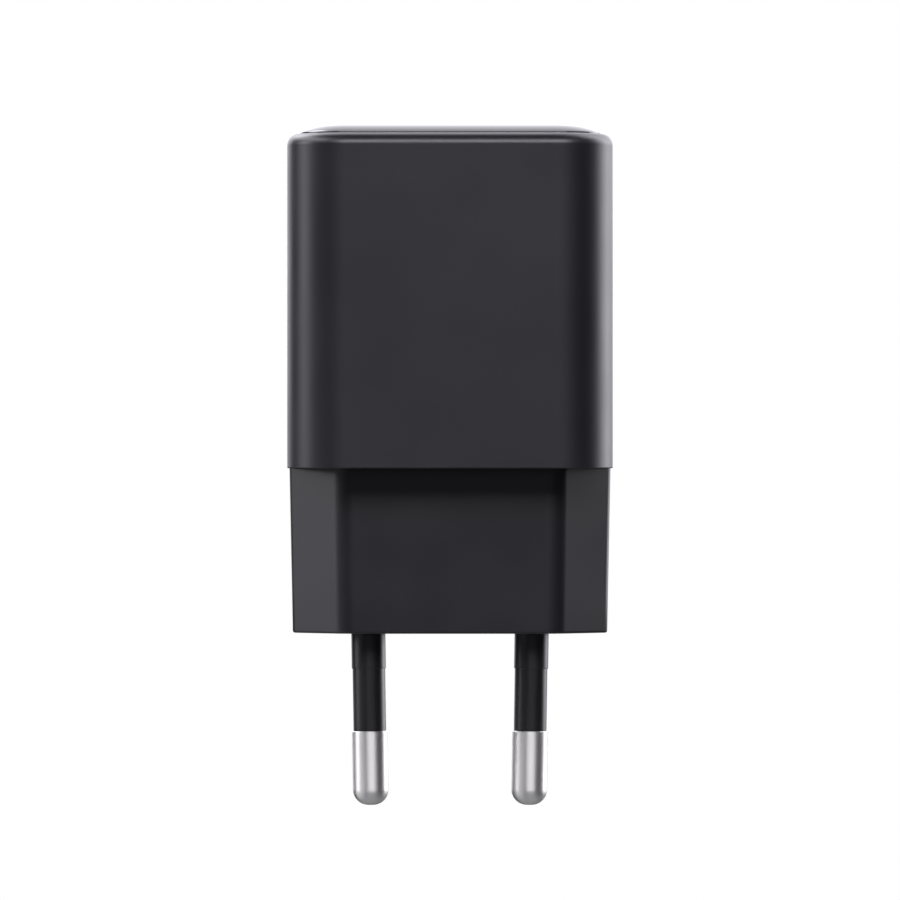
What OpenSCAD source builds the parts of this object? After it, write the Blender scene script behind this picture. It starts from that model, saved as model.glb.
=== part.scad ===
// USB wall charger with a two-pin flat Euro plug, built as the separate pieces it comes apart into.
// Millimetres. The origin is the middle of the plug's engagement face, the flat end that meets the
// socket. +Z runs from that face up to the charging ports, the pins point down -Z, X runs across the
// two pins and -Y is the front.

/* [Housing] */
// Width of the tub across the pins
housing_w = 36.1; // [32:0.1:45]
// Depth of the tub from front to back
housing_d = 28.5; // [24:0.1:40]
// Height of the tub from its open end to its rim
housing_h = 37.05; // [30:0.05:50]
// Thickness of the tub's walls
housing_wall = 1.8; // [1.2:0.1:2.6]
// Plan radius of the tub's four upright corners
housing_corner_r = 6.6; // [5.5:0.1:9]
// Radius of the rounded rim
rim_r = 1.3; // [0.6:0.1:2]
// Depth of the recess that the face plate drops into
recess_depth = 1.35; // [1:0.05:2]
// How far the ledge under the face plate reaches in from the recess
ledge_w = 2; // [1:0.1:3]
// Thickness of the ledge
ledge_t = 1.4; // [1:0.1:2]
// Thickness of each of the ribs that hold the main board's edges
rib_t = 0.8; // [0.6:0.1:1.2]

/* [Face plate] */
// Clearance between the face plate's edge and the recess wall
plate_gap = 0.12; // [0.05:0.01:0.3]
// How far the plate's upright edge stands above the rim
edge_proud = 0.15; // [0:0.01:0.4]
// How far the plate's crown rises from its edge
crown_h = 0.87; // [0.3:0.01:1.5]
// Width of the plate's curved border
crown_w = 3.3; // [2:0.1:4]
// Height of the wall under the plate that centres it in the ledge
plate_skirt_h = 2.2; // [1:0.1:3]

/* [Plug base] */
// Height of the plug body from the engagement face to the tub
base_h = 18.38; // [16:0.01:22]
// Width of the plug body at the engagement face
base_w = 35.1; // [34:0.1:36]
// Thickness of the plug body at the engagement face
base_t = 13.7; // [13.3:0.1:14]
// Width of the plug body where it meets the tub
base_top_w = 35.85; // [35:0.05:36]
// Thickness of the plug body where it meets the tub
base_top_t = 13.9; // [13.3:0.1:14.5]
// Size across each 45 degree corner flat, measured along X
base_chamfer = 5.75; // [4:0.05:6]
// Radius of the fold between a broad face and a corner flat
broad_fold_r = 3.4; // [1:0.1:4]
// Radius of the fold between a corner flat and a narrow side
side_fold_r = 1; // [0.4:0.1:1.4]
// Thickness of the plug body's walls
base_wall = 1.6; // [1.2:0.1:2.2]
// Thickness of the floor that the pins are fixed in
floor_t = 2.4; // [1.8:0.1:3.5]
// Thickness of the lid flange that closes the tub
flange_t = 2; // [1.5:0.1:3]
// Height of the locating wall on the lid flange
locating_h = 2.6; // [1.5:0.1:4]

/* [Pins] */
// Distance between the pin axes at the engagement face
pin_spacing = 18.25; // [18:0.01:19.2]
// Distance between the pin axes at the tips
pin_tip_spacing = 17.65; // [17:0.01:18]
// Diameter of the bare metal end
pin_d = 4; // [3.94:0.01:4.06]
// Reach of the pins below the engagement face
pin_reach = 19.25; // [18.5:0.05:19.5]
// Length of the bare metal end
pin_metal_l = 8.25; // [8:0.05:9.5]
// Radius of the rounding at the tip
pin_tip_r = 1.75; // [1:0.05:1.95]
// Diameter of the shank inside the sleeve
shank_d = 3; // [2.6:0.1:3.2]
// Diameter of the head that stops the pin pulling out
pin_head_d = 5; // [4.4:0.1:6]
// Thickness of that head
pin_head_t = 1; // [0.6:0.1:1.5]
// Height of the stud above the head, for the contact spring
pin_stud_h = 3.4; // [2.5:0.1:5]
// Diameter of the sleeve's root collar
collar_d = 3.82; // [3.6:0.01:3.95]
// Length of the root collar below the face
collar_l = 4; // [2:0.1:6]
// Diameter of the rest of the sleeve
sleeve_d = 3.65; // [3.3:0.01:3.8]

/* [Boards] */
// Thickness of both circuit boards
board_t = 1.2; // [0.8:0.1:1.6]
// Y of the main board's front face
board_front_y = 0.9; // [-2:0.1:3]
// Half width of the main board
board_half_w = 15; // [13:0.1:16]
// Z of the main board's lower edge
board_low_z = 21; // [20:0.1:24]
// Z of the port board's underside
port_board_z = 44; // [42:0.1:46]
// Half width of the tongue that hangs into the plug
tongue_half_w = 7; // [5:0.1:8]
// Z of the tongue's lower edge
tongue_low_z = 8; // [7:0.1:12]
// Diameter of the component leads
lead_d = 0.6; // [0.5:0.05:0.8]
// Diameter of the plated holes the leads go through
lead_hole_d = 0.9; // [0.7:0.05:1.2]

/* [Ports] */
// Y of the rectangular port's centre
usb_a_y = 4; // [3:0.1:6]
// Y of the oval port's centre
usb_c_y = -4.4; // [-7:0.1:-3]
// How far the port mouths sit below the plate's top
mouth_drop = 0.3; // [0:0.05:1]
// Thickness of the stamped steel of both ports
port_steel = 0.3; // [0.2:0.05:0.4]
// Clearance around each port in the face plate
port_gap = 0.15; // [0.05:0.05:0.4]

/* [Hidden] */

// overlap that makes a cut pass fully through
eps = 0.05;

rim_z = base_h + housing_h;
plate_top_z = rim_z + edge_proud + crown_h;
ledge_z = rim_z - recess_depth;

// how far in from the tub's outside the recess, the face plate and the lid flange lie
recess_in = rim_r - 0.08;
plate_in = recess_in + plate_gap;
flange_seat_in = 1.3;
flange_in = flange_seat_in + 0.05;

plate_w = housing_w - 2 * plate_in;
plate_d = housing_d - 2 * plate_in;
plate_corner_r = housing_corner_r - plate_in;
// radius of the crown's border, from its width and height
crown_r = (crown_w * crown_w + crown_h * crown_h) / (2 * crown_h);

flange_top_z = base_h + flange_t;
inner_w = housing_w - 2 * housing_wall;
inner_d = housing_d - 2 * housing_wall;

// lean of each pin toward the other
pin_lean = atan((pin_spacing - pin_tip_spacing) / 2 / pin_reach);
pin_bare_z = pin_metal_l - pin_reach;
pin_head_z = floor_t;
sleeve_seat_z = 1.2;
retainer_z = pin_head_z + pin_head_t;
retainer_t = 1.6;
spring_z = retainer_z + retainer_t;
spring_t = 0.4;
spring_strip_w = 2.6;
spring_strip_x = 14.2;

board_back_y = board_front_y + board_t;
port_board_top = port_board_z + board_t;
mouth_z = plate_top_z - mouth_drop;

// the two ports: outside width, outside height, then the tongues
usb_a_w = 13.1;
usb_a_h = 5.72;
usb_a_base_h = 2.4;
usb_a_tongue_w = 11.1;
usb_a_tongue_t = 1.84;
usb_a_tongue_y = usb_a_y + 1.24;
usb_a_pitch = 2.3;
usb_a_strip_w = 1;
usb_c_w = 8.94;
usb_c_h = 3.16;
usb_c_base_h = 2.6;
usb_c_tongue_w = 6.69;
usb_c_tongue_t = 0.7;
usb_c_pitch = 0.5;
usb_c_strip_w = 0.25;
strip_t = 0.2;
strip_proud = 0.05;

// leads through the main board: [x, z] of each
x_capacitor_leads = [[-12.75, 27.75], [-2.75, 27.75]];
choke_leads = [[1.4, 25.6], [1.4, 31], [8.6, 25.6], [8.6, 31]];
bulk_front_leads = [[-10.3, 25.6], [-5.3, 25.6]];
bulk_rear_leads = [[1.7, 36.8], [1.7, 40.3]];
y_capacitor_leads = [[4.7, 36.2], [4.7, 41]];
optocoupler_leads = [[9.2, 34.9], [11.8, 34.9], [9.2, 42.5], [11.8, 42.5]];
bobbin_leads = [[3.1, 29.9], [6.6, 29.9], [10.1, 29.9], [3.1, 39.1], [6.6, 39.1], [10.1, 39.1]];
fuse_leads = [[-2.5, 11.2], [2.5, 11.2]];
inductor_leads = [[-1.6, 17.4], [1.6, 17.4]];
varistor_leads = [[-4.4, 14.6], [4.4, 14.6]];
board_leads = concat(
    x_capacitor_leads, choke_leads, bulk_front_leads, bulk_rear_leads, y_capacitor_leads,
    optocoupler_leads, bobbin_leads, fuse_leads, inductor_leads, varistor_leads
);
lead_past = 0.5;
// room that a body on the board leaves for the lead ends of the parts on the other side
lead_room = 0.6;
tenon_x = [-9.5, 9.5];
tenon_w = 3;

// ---------------------------------------------------------------- shared shapes

// flat rectangle with round corners
module rounded_rect(w, d, r) {
    square([w - 2 * r, d], center = true);
    square([w, d - 2 * r], center = true);
    for (x = [-1, 1], y = [-1, 1])
        translate([x * (w / 2 - r), y * (d / 2 - r)]) circle(r = r);
}

// runs a section round a rounded rectangle: the section's x is the distance out from the corner
// centre and its y is the height
module swept_edge(w, d, r) {
    for (i = [0:3]) {
        along = (i % 2 == 0 ? w : d) / 2 - r;
        out = (i % 2 == 0 ? d : w) / 2 - r;
        rotate([0, 0, 90 * i]) {
            translate([-along, out, 0]) rotate([90, 0, 90]) linear_extrude(2 * along) children();
            translate([along, out, 0]) rotate_extrude(angle = 90) children();
        }
    }
}

// tube with a rounded rectangle section
module rounded_tube(w, d, r, wall, h) {
    linear_extrude(h) difference() {
        rounded_rect(w, d, r);
        rounded_rect(w - 2 * wall, d - 2 * wall, max(r - wall, 0.1));
    }
}

// block between two corners, so that it can be given in the charger's own frame
module block(low, high) {
    translate(low) cube(high - low);
}

// straight leads that run through the main board from y_from to y_to
module leads(places, y_from, y_to) {
    for (p = places)
        translate([p[0], y_from, p[1]]) rotate([-90, 0, 0])
            cylinder(d = lead_d, h = y_to - y_from, $fn = 24);
}

// chip body lying on the main board: side 1 is its rear face and side -1 its front
module board_chip(x, z, w, h, t, side) {
    y = side > 0 ? board_back_y : board_front_y - t;
    block([x - w / 2, y, z - h / 2], [x + w / 2, y + t, z + h / 2]);
}

// things placed on a leaning pin's axis: side is -1 for the left pin and 1 for the right
module on_pin(side) {
    translate([side * pin_spacing / 2, 0, 0]) rotate([0, side * pin_lean, 0]) children();
}

// ---------------------------------------------------------------- outside pieces

// section of the tub's wall, with the recess, the ledge and the seat for the lid flange
module housing_section() {
    r = housing_corner_r;
    inner = r - housing_wall;
    ledge_edge = r - recess_in - ledge_w;
    difference() {
        union() {
            translate([inner, base_h]) square([housing_wall, housing_h - rim_r]);
            translate([inner, ledge_z - ledge_t])
                square([housing_wall - rim_r, recess_depth + ledge_t]);
            translate([r - rim_r, rim_z - rim_r]) circle(r = rim_r);
            polygon([
                [ledge_edge, ledge_z - ledge_t], [inner + eps, ledge_z - ledge_t - inner + ledge_edge],
                [inner + eps, ledge_z], [ledge_edge, ledge_z]
            ]);
        }
        translate([0, ledge_z]) square([r - recess_in, recess_depth + eps]);
        translate([0, base_h - eps]) square([r - flange_seat_in, flange_t + eps]);
    }
}

module housing() color("#2e2e30") {
    swept_edge(housing_w, housing_d, housing_corner_r) housing_section();
    // ribs that make a slot for each edge of the main board
    slot_clear = 0.05;
    rib_low_z = flange_top_z + locating_h + 1;
    rib_w = inner_w / 2 - board_half_w + 0.6;
    for (x = [-1, 1], y = [board_front_y - slot_clear - rib_t, board_back_y + slot_clear])
        translate([x * (inner_w / 2 + eps / 2 - rib_w / 2), y + rib_t / 2, rib_low_z])
            linear_extrude(port_board_z - rib_low_z) square([rib_w + eps, rib_t], center = true);
}

// section of the plate's border: a flat base with a curved top that drops to the rim
module plate_section() {
    r = plate_corner_r;
    intersection() {
        translate([0, ledge_z]) square([r, plate_top_z - ledge_z]);
        union() {
            translate([0, ledge_z]) square([r - crown_w, plate_top_z - ledge_z]);
            translate([r - crown_w, plate_top_z - crown_r]) circle(r = crown_r);
        }
    }
}

module face_plate() color("#1d1d1f") {
    skirt_in = ledge_w + 0.15;
    skirt_wall = 1;
    aperture_top = plate_top_z + eps;
    aperture_low = ledge_z - plate_skirt_h - eps;
    difference() {
        union() {
            swept_edge(plate_w, plate_d, plate_corner_r) plate_section();
            translate([0, 0, ledge_z]) linear_extrude(plate_top_z - ledge_z) {
                square([plate_w - 2 * plate_corner_r + eps, plate_d - 2 * crown_w], center = true);
                square([plate_w - 2 * crown_w, plate_d - 2 * plate_corner_r + eps], center = true);
            }
            translate([0, 0, ledge_z - plate_skirt_h])
                rounded_tube(plate_w - 2 * skirt_in, plate_d - 2 * skirt_in,
                    plate_corner_r - skirt_in, skirt_wall, plate_skirt_h + eps);
        }
        translate([0, usb_a_y, aperture_low]) linear_extrude(aperture_top - aperture_low)
            rounded_rect(usb_a_w + 2 * port_gap, usb_a_h + 2 * port_gap, 0.65);
        translate([0, usb_c_y, aperture_low]) linear_extrude(aperture_top - aperture_low)
            rounded_rect(usb_c_w + 2 * port_gap, usb_c_h + 2 * port_gap, usb_c_h / 2 + port_gap - 0.01);
    }
}

// outline of the plug body: eight folds at 45 degrees, the broad ones rounder than the side ones
function fold_arc(x, y, r, from) =
    [for (i = [0:6]) [x + r * cos(from + i * 7.5), y + r * sin(from + i * 7.5)]];
function plug_outline(w, t, chamfer) = let (
    lean = tan(22.5),
    side_x = w / 2 - side_fold_r,
    side_y = t / 2 - chamfer - side_fold_r * lean,
    broad_x = w / 2 - chamfer - broad_fold_r * lean,
    broad_y = t / 2 - broad_fold_r
) [
    for (k = [0:7])
        let (
            sx = (k < 2 || k > 5) ? 1 : -1,
            sy = k < 4 ? 1 : -1,
            on_side = k % 4 == 0 || k % 4 == 3
        )
        each on_side
            ? fold_arc(sx * side_x, sy * side_y, side_fold_r, 45 * k)
            : fold_arc(sx * broad_x, sy * broad_y, broad_fold_r, 45 * k)
];

// hollow of the plug body, the outline moved in by the wall
module plug_hollow_outline() {
    half_w = base_w / 2 - base_wall;
    half_t = base_t / 2 - base_wall;
    c = base_chamfer - base_wall * (2 - sqrt(2));
    polygon([
        [half_w, half_t - c], [half_w - c, half_t], [c - half_w, half_t], [-half_w, half_t - c],
        [-half_w, c - half_t], [c - half_w, -half_t], [half_w - c, -half_t], [half_w, c - half_t]
    ]);
}

module plug_base() color("#2b2b2d") {
    neck_h = 0.6;
    boss_d = pin_head_d + 2.2;
    locating_wall = 1;
    locating_in = housing_wall + 0.1;
    post_d = 1.6;
    difference() {
        union() {
            linear_extrude(base_h, scale = [base_top_w / base_w, base_top_t / base_t], slices = 1)
                polygon(plug_outline(base_w, base_t, base_chamfer));
            translate([0, 0, base_h - neck_h]) linear_extrude(2 * neck_h) intersection() {
                rounded_rect(housing_w - 2 * flange_in, housing_d - 2 * flange_in,
                    housing_corner_r - flange_in);
                polygon(plug_outline(base_w, base_t, base_chamfer));
            }
            translate([0, 0, base_h]) linear_extrude(flange_t)
                rounded_rect(housing_w - 2 * flange_in, housing_d - 2 * flange_in,
                    housing_corner_r - flange_in);
            translate([0, 0, base_h])
                rounded_tube(housing_w - 2 * locating_in, housing_d - 2 * locating_in,
                    housing_corner_r - locating_in, locating_wall, flange_t + locating_h);
        }
        translate([0, 0, floor_t]) linear_extrude(base_h) plug_hollow_outline();
        for (side = [-1, 1]) on_pin(side) {
            translate([0, 0, sleeve_seat_z]) cylinder(d = shank_d + 0.1, h = floor_t);
            translate([0, 0, -1]) cylinder(d = collar_d + 0.06, h = 1 + sleeve_seat_z);
        }
    }
    // rings round the pin heads, and posts that are melted over to hold the retainer down
    for (side = [-1, 1]) {
        translate([side * pin_spacing / 2, 0, floor_t - eps]) difference() {
            cylinder(d = boss_d, h = pin_head_t + eps);
            translate([0, 0, -eps]) cylinder(d = pin_head_d + 0.3, h = pin_head_t + 3 * eps);
        }
        translate([side * 3.4, 0, floor_t - eps]) {
            cylinder(d = post_d + 1.6, h = pin_head_t + eps);
            cylinder(d = post_d, h = pin_head_t + retainer_t + 0.2);
            translate([0, 0, pin_head_t + retainer_t + eps]) cylinder(d = post_d + 0.8, h = 0.6);
        }
    }
}

// nickel-plated brass pin: rounded bare end, thinner shank in the sleeve, head and stud inside
module pin(side) color("#d4d2cc") on_pin(side) {
    tip_flat_r = pin_d / 2 - pin_tip_r;
    rotate_extrude() {
        translate([0, -pin_reach]) square([tip_flat_r, pin_tip_r]);
        intersection() {
            translate([tip_flat_r, pin_tip_r - pin_reach]) circle(r = pin_tip_r);
            translate([0, -pin_reach]) square([pin_d / 2, pin_tip_r]);
        }
        translate([0, pin_tip_r - pin_reach - 0.01])
            square([pin_d / 2, pin_metal_l - pin_tip_r + 0.01]);
        translate([0, pin_bare_z - eps]) square([shank_d / 2, pin_head_z - pin_bare_z + 2 * eps]);
        translate([0, pin_head_z + 0.06]) square([pin_head_d / 2, pin_head_t - 0.12]);
        translate([0, pin_head_z]) square([shank_d / 2 - 0.1, pin_stud_h]);
    }
}

module pin_left() pin(-1);
module pin_right() pin(1);

// moulded nylon sleeve: thicker root collar that is seated in the floor, then the thin part
module sleeve(side) color("#242426") on_pin(side) difference() {
    union() {
        translate([0, 0, -collar_l]) cylinder(d = collar_d, h = collar_l + sleeve_seat_z - 0.04);
        translate([0, 0, pin_bare_z + 0.02]) cylinder(d = sleeve_d, h = -pin_bare_z);
    }
    translate([0, 0, pin_bare_z - 1]) cylinder(d = shank_d + 0.02, h = pin_reach);
}

module sleeve_left() sleeve(-1);
module sleeve_right() sleeve(1);

// ---------------------------------------------------------------- mains side

// plastic bridge over both pin heads, held by the two melted posts
module pin_retainer() color("#e6dfcf") {
    retainer_w = 26;
    retainer_d = 8;
    difference() {
        translate([0, 0, retainer_z + 0.01]) linear_extrude(retainer_t - 0.01)
            rounded_rect(retainer_w, retainer_d, 2);
        for (side = [-1, 1]) {
            on_pin(side) cylinder(d = shank_d + 0.2, h = 3 * retainer_z);
            translate([side * 3.4, 0, 0]) cylinder(d = 1.7, h = 3 * retainer_z);
        }
    }
}

// bronze strip: a ring pressed on the pin's stud, a tab, and a leg soldered to the main board
module contact_spring(side) color("#c89b5a") difference() {
    ring_d = 5.4;
    tab_low_y = -1.3;
    union() {
        translate([side * pin_spacing / 2, 0, spring_z]) cylinder(d = ring_d, h = spring_t);
        translate([side * (pin_spacing / 2 + spring_strip_x) / 2, 0, spring_z])
            linear_extrude(spring_t) translate([0, (tab_low_y + board_front_y) / 2])
                square([spring_strip_x - pin_spacing / 2, board_front_y - tab_low_y], center = true);
        translate([side * (spring_strip_x - spring_strip_w / 2), board_front_y - spring_t / 2, spring_z])
            linear_extrude(board_low_z + 3.8 - spring_z)
                square([spring_strip_w, spring_t], center = true);
    }
    on_pin(side) cylinder(d = shank_d, h = 3 * spring_z);
}

module contact_spring_left() contact_spring(-1);
module contact_spring_right() contact_spring(1);

// upright glass-epoxy board with a tongue that hangs into the plug and two tenons at the top
module main_board() color("#1f5a3a") difference() {
    union() {
        block([-board_half_w, board_front_y, board_low_z],
            [board_half_w, board_back_y, port_board_z]);
        block([-tongue_half_w, board_front_y, tongue_low_z],
            [tongue_half_w, board_back_y, board_low_z + eps]);
        for (x = tenon_x)
            block([x - tenon_w / 2, board_front_y, port_board_z - eps],
                [x + tenon_w / 2, board_back_y, port_board_top]);
    }
    for (p = board_leads)
        translate([p[0], board_front_y - 1, p[1]]) rotate([-90, 0, 0])
            cylinder(d = lead_hole_d, h = board_t + 2);
}

// box fuse on the tongue's front
module fuse() color("#7a5a3a") {
    fuse_w = 8.4;
    fuse_h = 4.2;
    block([-fuse_w / 2, -4.5, 11.2 - fuse_h / 2], [fuse_w / 2, 0.4, 11.2 + fuse_h / 2]);
    leads(fuse_leads, 0.3, board_back_y + lead_past);
}

// surge-absorbing disc on the tongue's rear
module varistor() color("#2b62a8") {
    disc_d = 7;
    disc_t = 2.5;
    disc_y = board_back_y + lead_room;
    translate([0, disc_y, 14.6]) rotate([-90, 0, 0]) cylinder(d = disc_d, h = disc_t);
    for (p = varistor_leads) {
        block([min(p[0], sign(p[0]) * 3), disc_y + 0.9, p[1] - lead_d / 2],
            [max(p[0], sign(p[0]) * 3), disc_y + 0.9 + lead_d, p[1] + lead_d / 2]);
    }
    leads(varistor_leads, board_front_y - lead_past, disc_y + 1.2);
}

// ferrite drum choke on the tongue's front
module filter_inductor() color("#5b4a42") {
    flange_d = 6;
    waist_d = 4.4;
    drum_low_y = -4.4;
    drum_top_y = 0.4;
    rim = 0.9;
    translate([0, drum_low_y, 17.4]) rotate([-90, 0, 0]) {
        cylinder(d = flange_d, h = rim);
        cylinder(d = waist_d, h = drum_top_y - drum_low_y);
        translate([0, 0, drum_top_y - drum_low_y - rim]) cylinder(d = flange_d, h = rim);
    }
    leads(inductor_leads, drum_top_y - eps, board_back_y + lead_past);
}

// moulded bridge with four flat legs on the board's front
module bridge_rectifier() color("#1c1c1c") {
    x = -7.8;
    z = 23.1;
    body_w = 4.7;
    body_h = 3;
    body_t = 2.3;
    translate([0, -0.15, 0]) board_chip(x, z, body_w, body_h, body_t, -1);
    for (sx = [-1, 1], sz = [-1, 1])
        board_chip(x + sx * 1.3, z + sz * (body_h / 2 + 0.15), 0.7, 0.7, 0.3, -1);
}

// suppression film capacitor, a potted box on the rear
module x_capacitor() color("#d8b13a") {
    box_w = 12.5;
    box_t = 5.5;
    box_h = 10.5;
    low_y = board_back_y + lead_room;
    translate([-7.75, low_y, 27.75]) rotate([-90, 0, 0]) linear_extrude(box_t)
        rounded_rect(box_w, box_h, 0.8);
    leads(x_capacitor_leads, board_front_y - lead_past, low_y + eps);
}

// ferrite frame of the common mode choke
choke_x = 5;
choke_z = 28;
choke_w = 9.6;
choke_h = 9.6;
choke_leg = 2.4;
choke_low_y = 3.9;
choke_t = 3;

module choke_core() color("#3b3b3e") translate([choke_x, choke_low_y, choke_z])
    rotate([-90, 0, 0]) linear_extrude(choke_t) difference() {
        square([choke_w, choke_h], center = true);
        square([choke_w - 2 * choke_leg, choke_h - 2 * choke_leg], center = true);
    }

// two copper coils, one on each upright of the frame, with their ends in the board
module choke_windings() color("#b5662f") {
    coil_gap = 0.1;
    coil_build = 1.1;
    coil_l = choke_h - 2 * choke_leg - 0.4;
    for (side = [-1, 1])
        translate([choke_x + side * (choke_w - choke_leg) / 2, choke_low_y + choke_t / 2,
            choke_z - coil_l / 2])
            rounded_tube(choke_leg + 2 * (coil_gap + coil_build), choke_t + 2 * (coil_gap + coil_build),
                1, coil_build, coil_l);
    for (p = choke_leads) {
        leads([p], board_front_y - lead_past, choke_low_y - coil_gap - coil_build + 0.3);
        block([p[0] - lead_d / 2, choke_low_y - coil_gap - coil_build, min(p[1], choke_z)],
            [p[0] + lead_d / 2, choke_low_y - coil_gap - coil_build + lead_d, max(p[1], choke_z)]);
    }
}

// electrolytic can: body with the rolled groove near its base, a sleeve-covered top and two leads
module can(d, l) {
    groove = 0.35;
    rotate_extrude() difference() {
        union() {
            square([d / 2 - 0.5, l]);
            translate([0, 0.5]) square([d / 2, l - 1]);
            for (y = [0.5, l - 0.5]) translate([d / 2 - 0.5, y]) circle(r = 0.5);
        }
        translate([d / 2 + groove / 2, 2.2]) circle(r = groove);
    }
}

module bulk_capacitor_front() color("#20252b") {
    low_z = 27.2;
    at_y = -6.2;
    translate([-7.8, at_y, low_z]) can(10, 15.8);
    for (p = bulk_front_leads) {
        translate([p[0], at_y, p[1]]) cylinder(d = lead_d, h = low_z - p[1] + eps, $fn = 24);
        translate([p[0], at_y, p[1]]) sphere(d = lead_d, $fn = 24);
    }
    leads(bulk_front_leads, at_y, board_back_y + lead_past);
}

module bulk_capacitor_rear() color("#20252b") {
    end_x = 0.5;
    at_y = 6.8;
    translate([end_x, at_y, 38.55]) rotate([0, -90, 0]) can(8, 14);
    for (p = bulk_rear_leads) {
        translate([end_x - eps, at_y, p[1]]) rotate([0, 90, 0])
            cylinder(d = lead_d, h = p[0] - end_x + eps, $fn = 24);
        translate([p[0], at_y, p[1]]) sphere(d = lead_d, $fn = 24);
    }
    leads(bulk_rear_leads, board_front_y - lead_past, at_y);
}

// blue safety disc that bridges the isolation gap
module y_capacitor() color("#2f6fb5") {
    disc_d = 7;
    disc_t = 2.8;
    disc_y = 7;
    translate([4.7 - disc_t / 2, disc_y, 38.6]) rotate([0, 90, 0]) cylinder(d = disc_d, h = disc_t);
    leads(y_capacitor_leads, board_front_y - lead_past, disc_y);
}

// ---------------------------------------------------------------- transformer

trafo_x = 6.6;
trafo_y = -5.7;
trafo_z = 34.5;
core_w = 14;
core_d = 8;
core_h = 16;
core_back = 3;
core_leg = 2.2;
core_post = 4.4;
spool_clear = 0.1;
spool_wall = 0.5;
spool_flange_t = 0.8;
spool_h = core_h - 2 * core_back;
spool_w = core_w - 2 * core_leg - 0.2;
spool_d = 12.4;

// two E-shaped ferrite halves that meet at the middle
module transformer_core() color("#35363a") {
    glue_line = 0.02;
    for (end = [0, 1]) translate([trafo_x, trafo_y, trafo_z]) mirror([0, 0, end])
        rotate([90, 0, 0]) linear_extrude(core_d, center = true) {
            translate([-core_w / 2, core_h / 2 - core_back]) square([core_w, core_back]);
            for (x = [-core_w / 2, core_w / 2 - core_leg])
                translate([x, glue_line / 2]) square([core_leg, core_h / 2 - glue_line / 2]);
            translate([-core_post / 2, glue_line / 2])
                square([core_post, core_h / 2 - glue_line / 2]);
        }
}

// moulded bobbin: a tube round the middle post, two flanges and six terminals
module transformer_bobbin() color("#3a3430") {
    tube_w = core_post + 2 * (spool_clear + spool_wall);
    tube_d = core_d + 2 * (spool_clear + spool_wall);
    difference() {
        translate([trafo_x, trafo_y, trafo_z - spool_h / 2]) {
            linear_extrude(spool_h) square([tube_w, tube_d], center = true);
            for (z = [0.02, spool_h - spool_flange_t - 0.02]) translate([0, 0, z])
                linear_extrude(spool_flange_t) square([spool_w, spool_d], center = true);
        }
        translate([trafo_x, trafo_y, trafo_z - spool_h / 2 - 1]) linear_extrude(spool_h + 2)
            square([core_post + 2 * spool_clear, core_d + 2 * spool_clear], center = true);
    }
    leads(bobbin_leads, trafo_y + spool_d / 2 - eps, board_back_y + lead_past);
}

// taped copper windings between the bobbin's flanges
module transformer_windings() color("#d9a521") {
    tape_h = spool_h - 2 * spool_flange_t - 0.1;
    translate([trafo_x, trafo_y, trafo_z - tape_h / 2]) linear_extrude(tape_h) difference() {
        rounded_rect(spool_w - 0.4, spool_d - 0.8, 2.4);
        square([core_post + 2 * (spool_clear + spool_wall) + 0.04,
            core_d + 2 * (spool_clear + spool_wall) + 0.04], center = true);
    }
}

// ---------------------------------------------------------------- chips and small parts

// chip body with a row of flat legs on two opposite sides
module legged_chip(x, z, w, h, t, side, legs, leg_w) {
    translate([0, side * 0.1, 0]) board_chip(x, z, w, h, t, side);
    for (i = [0:legs - 1], edge = [-1, 1])
        board_chip(x + (i - (legs - 1) / 2) * (w / legs), z + edge * (h / 2 + 0.35),
            leg_w, 1, 0.2, side);
}

module primary_controller() color("#191919") legged_chip(2.9, 23.4, 4.9, 2.6, 1.3, -1, 4, 0.4);
module sync_rectifier() color("#191919") legged_chip(12.6, 27.2, 2.9, 4, 1, 1, 3, 0.4);

// four-legged light coupler across the isolation gap
module optocoupler() color("#222222") {
    body_low_y = board_back_y + lead_room;
    body_t = 3.4;
    body_z = [35.6, 41.8];
    leg_half = lead_d / 2;
    block([8.2, body_low_y, body_z[0]], [12.8, body_low_y + body_t, body_z[1]]);
    for (p = optocoupler_leads) {
        leg_z = p[1] < body_z[0] ? [p[1] - leg_half, body_z[0] + eps] : [body_z[1] - eps, p[1] + leg_half];
        block([p[0] - leg_half, body_low_y + 1.4, leg_z[0]], [p[0] + leg_half, body_low_y + 1.6, leg_z[1]]);
    }
    leads(optocoupler_leads, board_front_y - lead_past, body_low_y + 1.6);
}

// surface-mounted resistors and capacitors on the main board
module small_parts() color("#8d7b64") {
    for (p = [[7.2, 22.6], [7.2, 24.6], [9.9, 22.6], [9.9, 24.6], [-2.2, 22.8], [-2.2, 24.4]])
        board_chip(p[0], p[1], 2, 1.2, 0.6, -1);
    for (p = [[-13.2, 34.6], [-13.2, 43], [-10.4, 43.2], [13.2, 32.4], [13.2, 33.6]])
        board_chip(p[0], p[1], 1.6, 0.8, 0.5, 1);
}

// two polymer cans on the port board
module output_capacitors() color("#c9cbcd") for (x = [-11.2, 11.2])
    translate([x, -5.2, port_board_top]) can(6.3, 5.8);

module port_controller() color("#191919")
    block([9, 2.6, port_board_top], [13, 6.6, port_board_top + 0.9]);

module load_switch() color("#191919")
    block([-12.6, 3, port_board_top], [-9.3, 6.3, port_board_top + 1]);

// ---------------------------------------------------------------- ports

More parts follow.
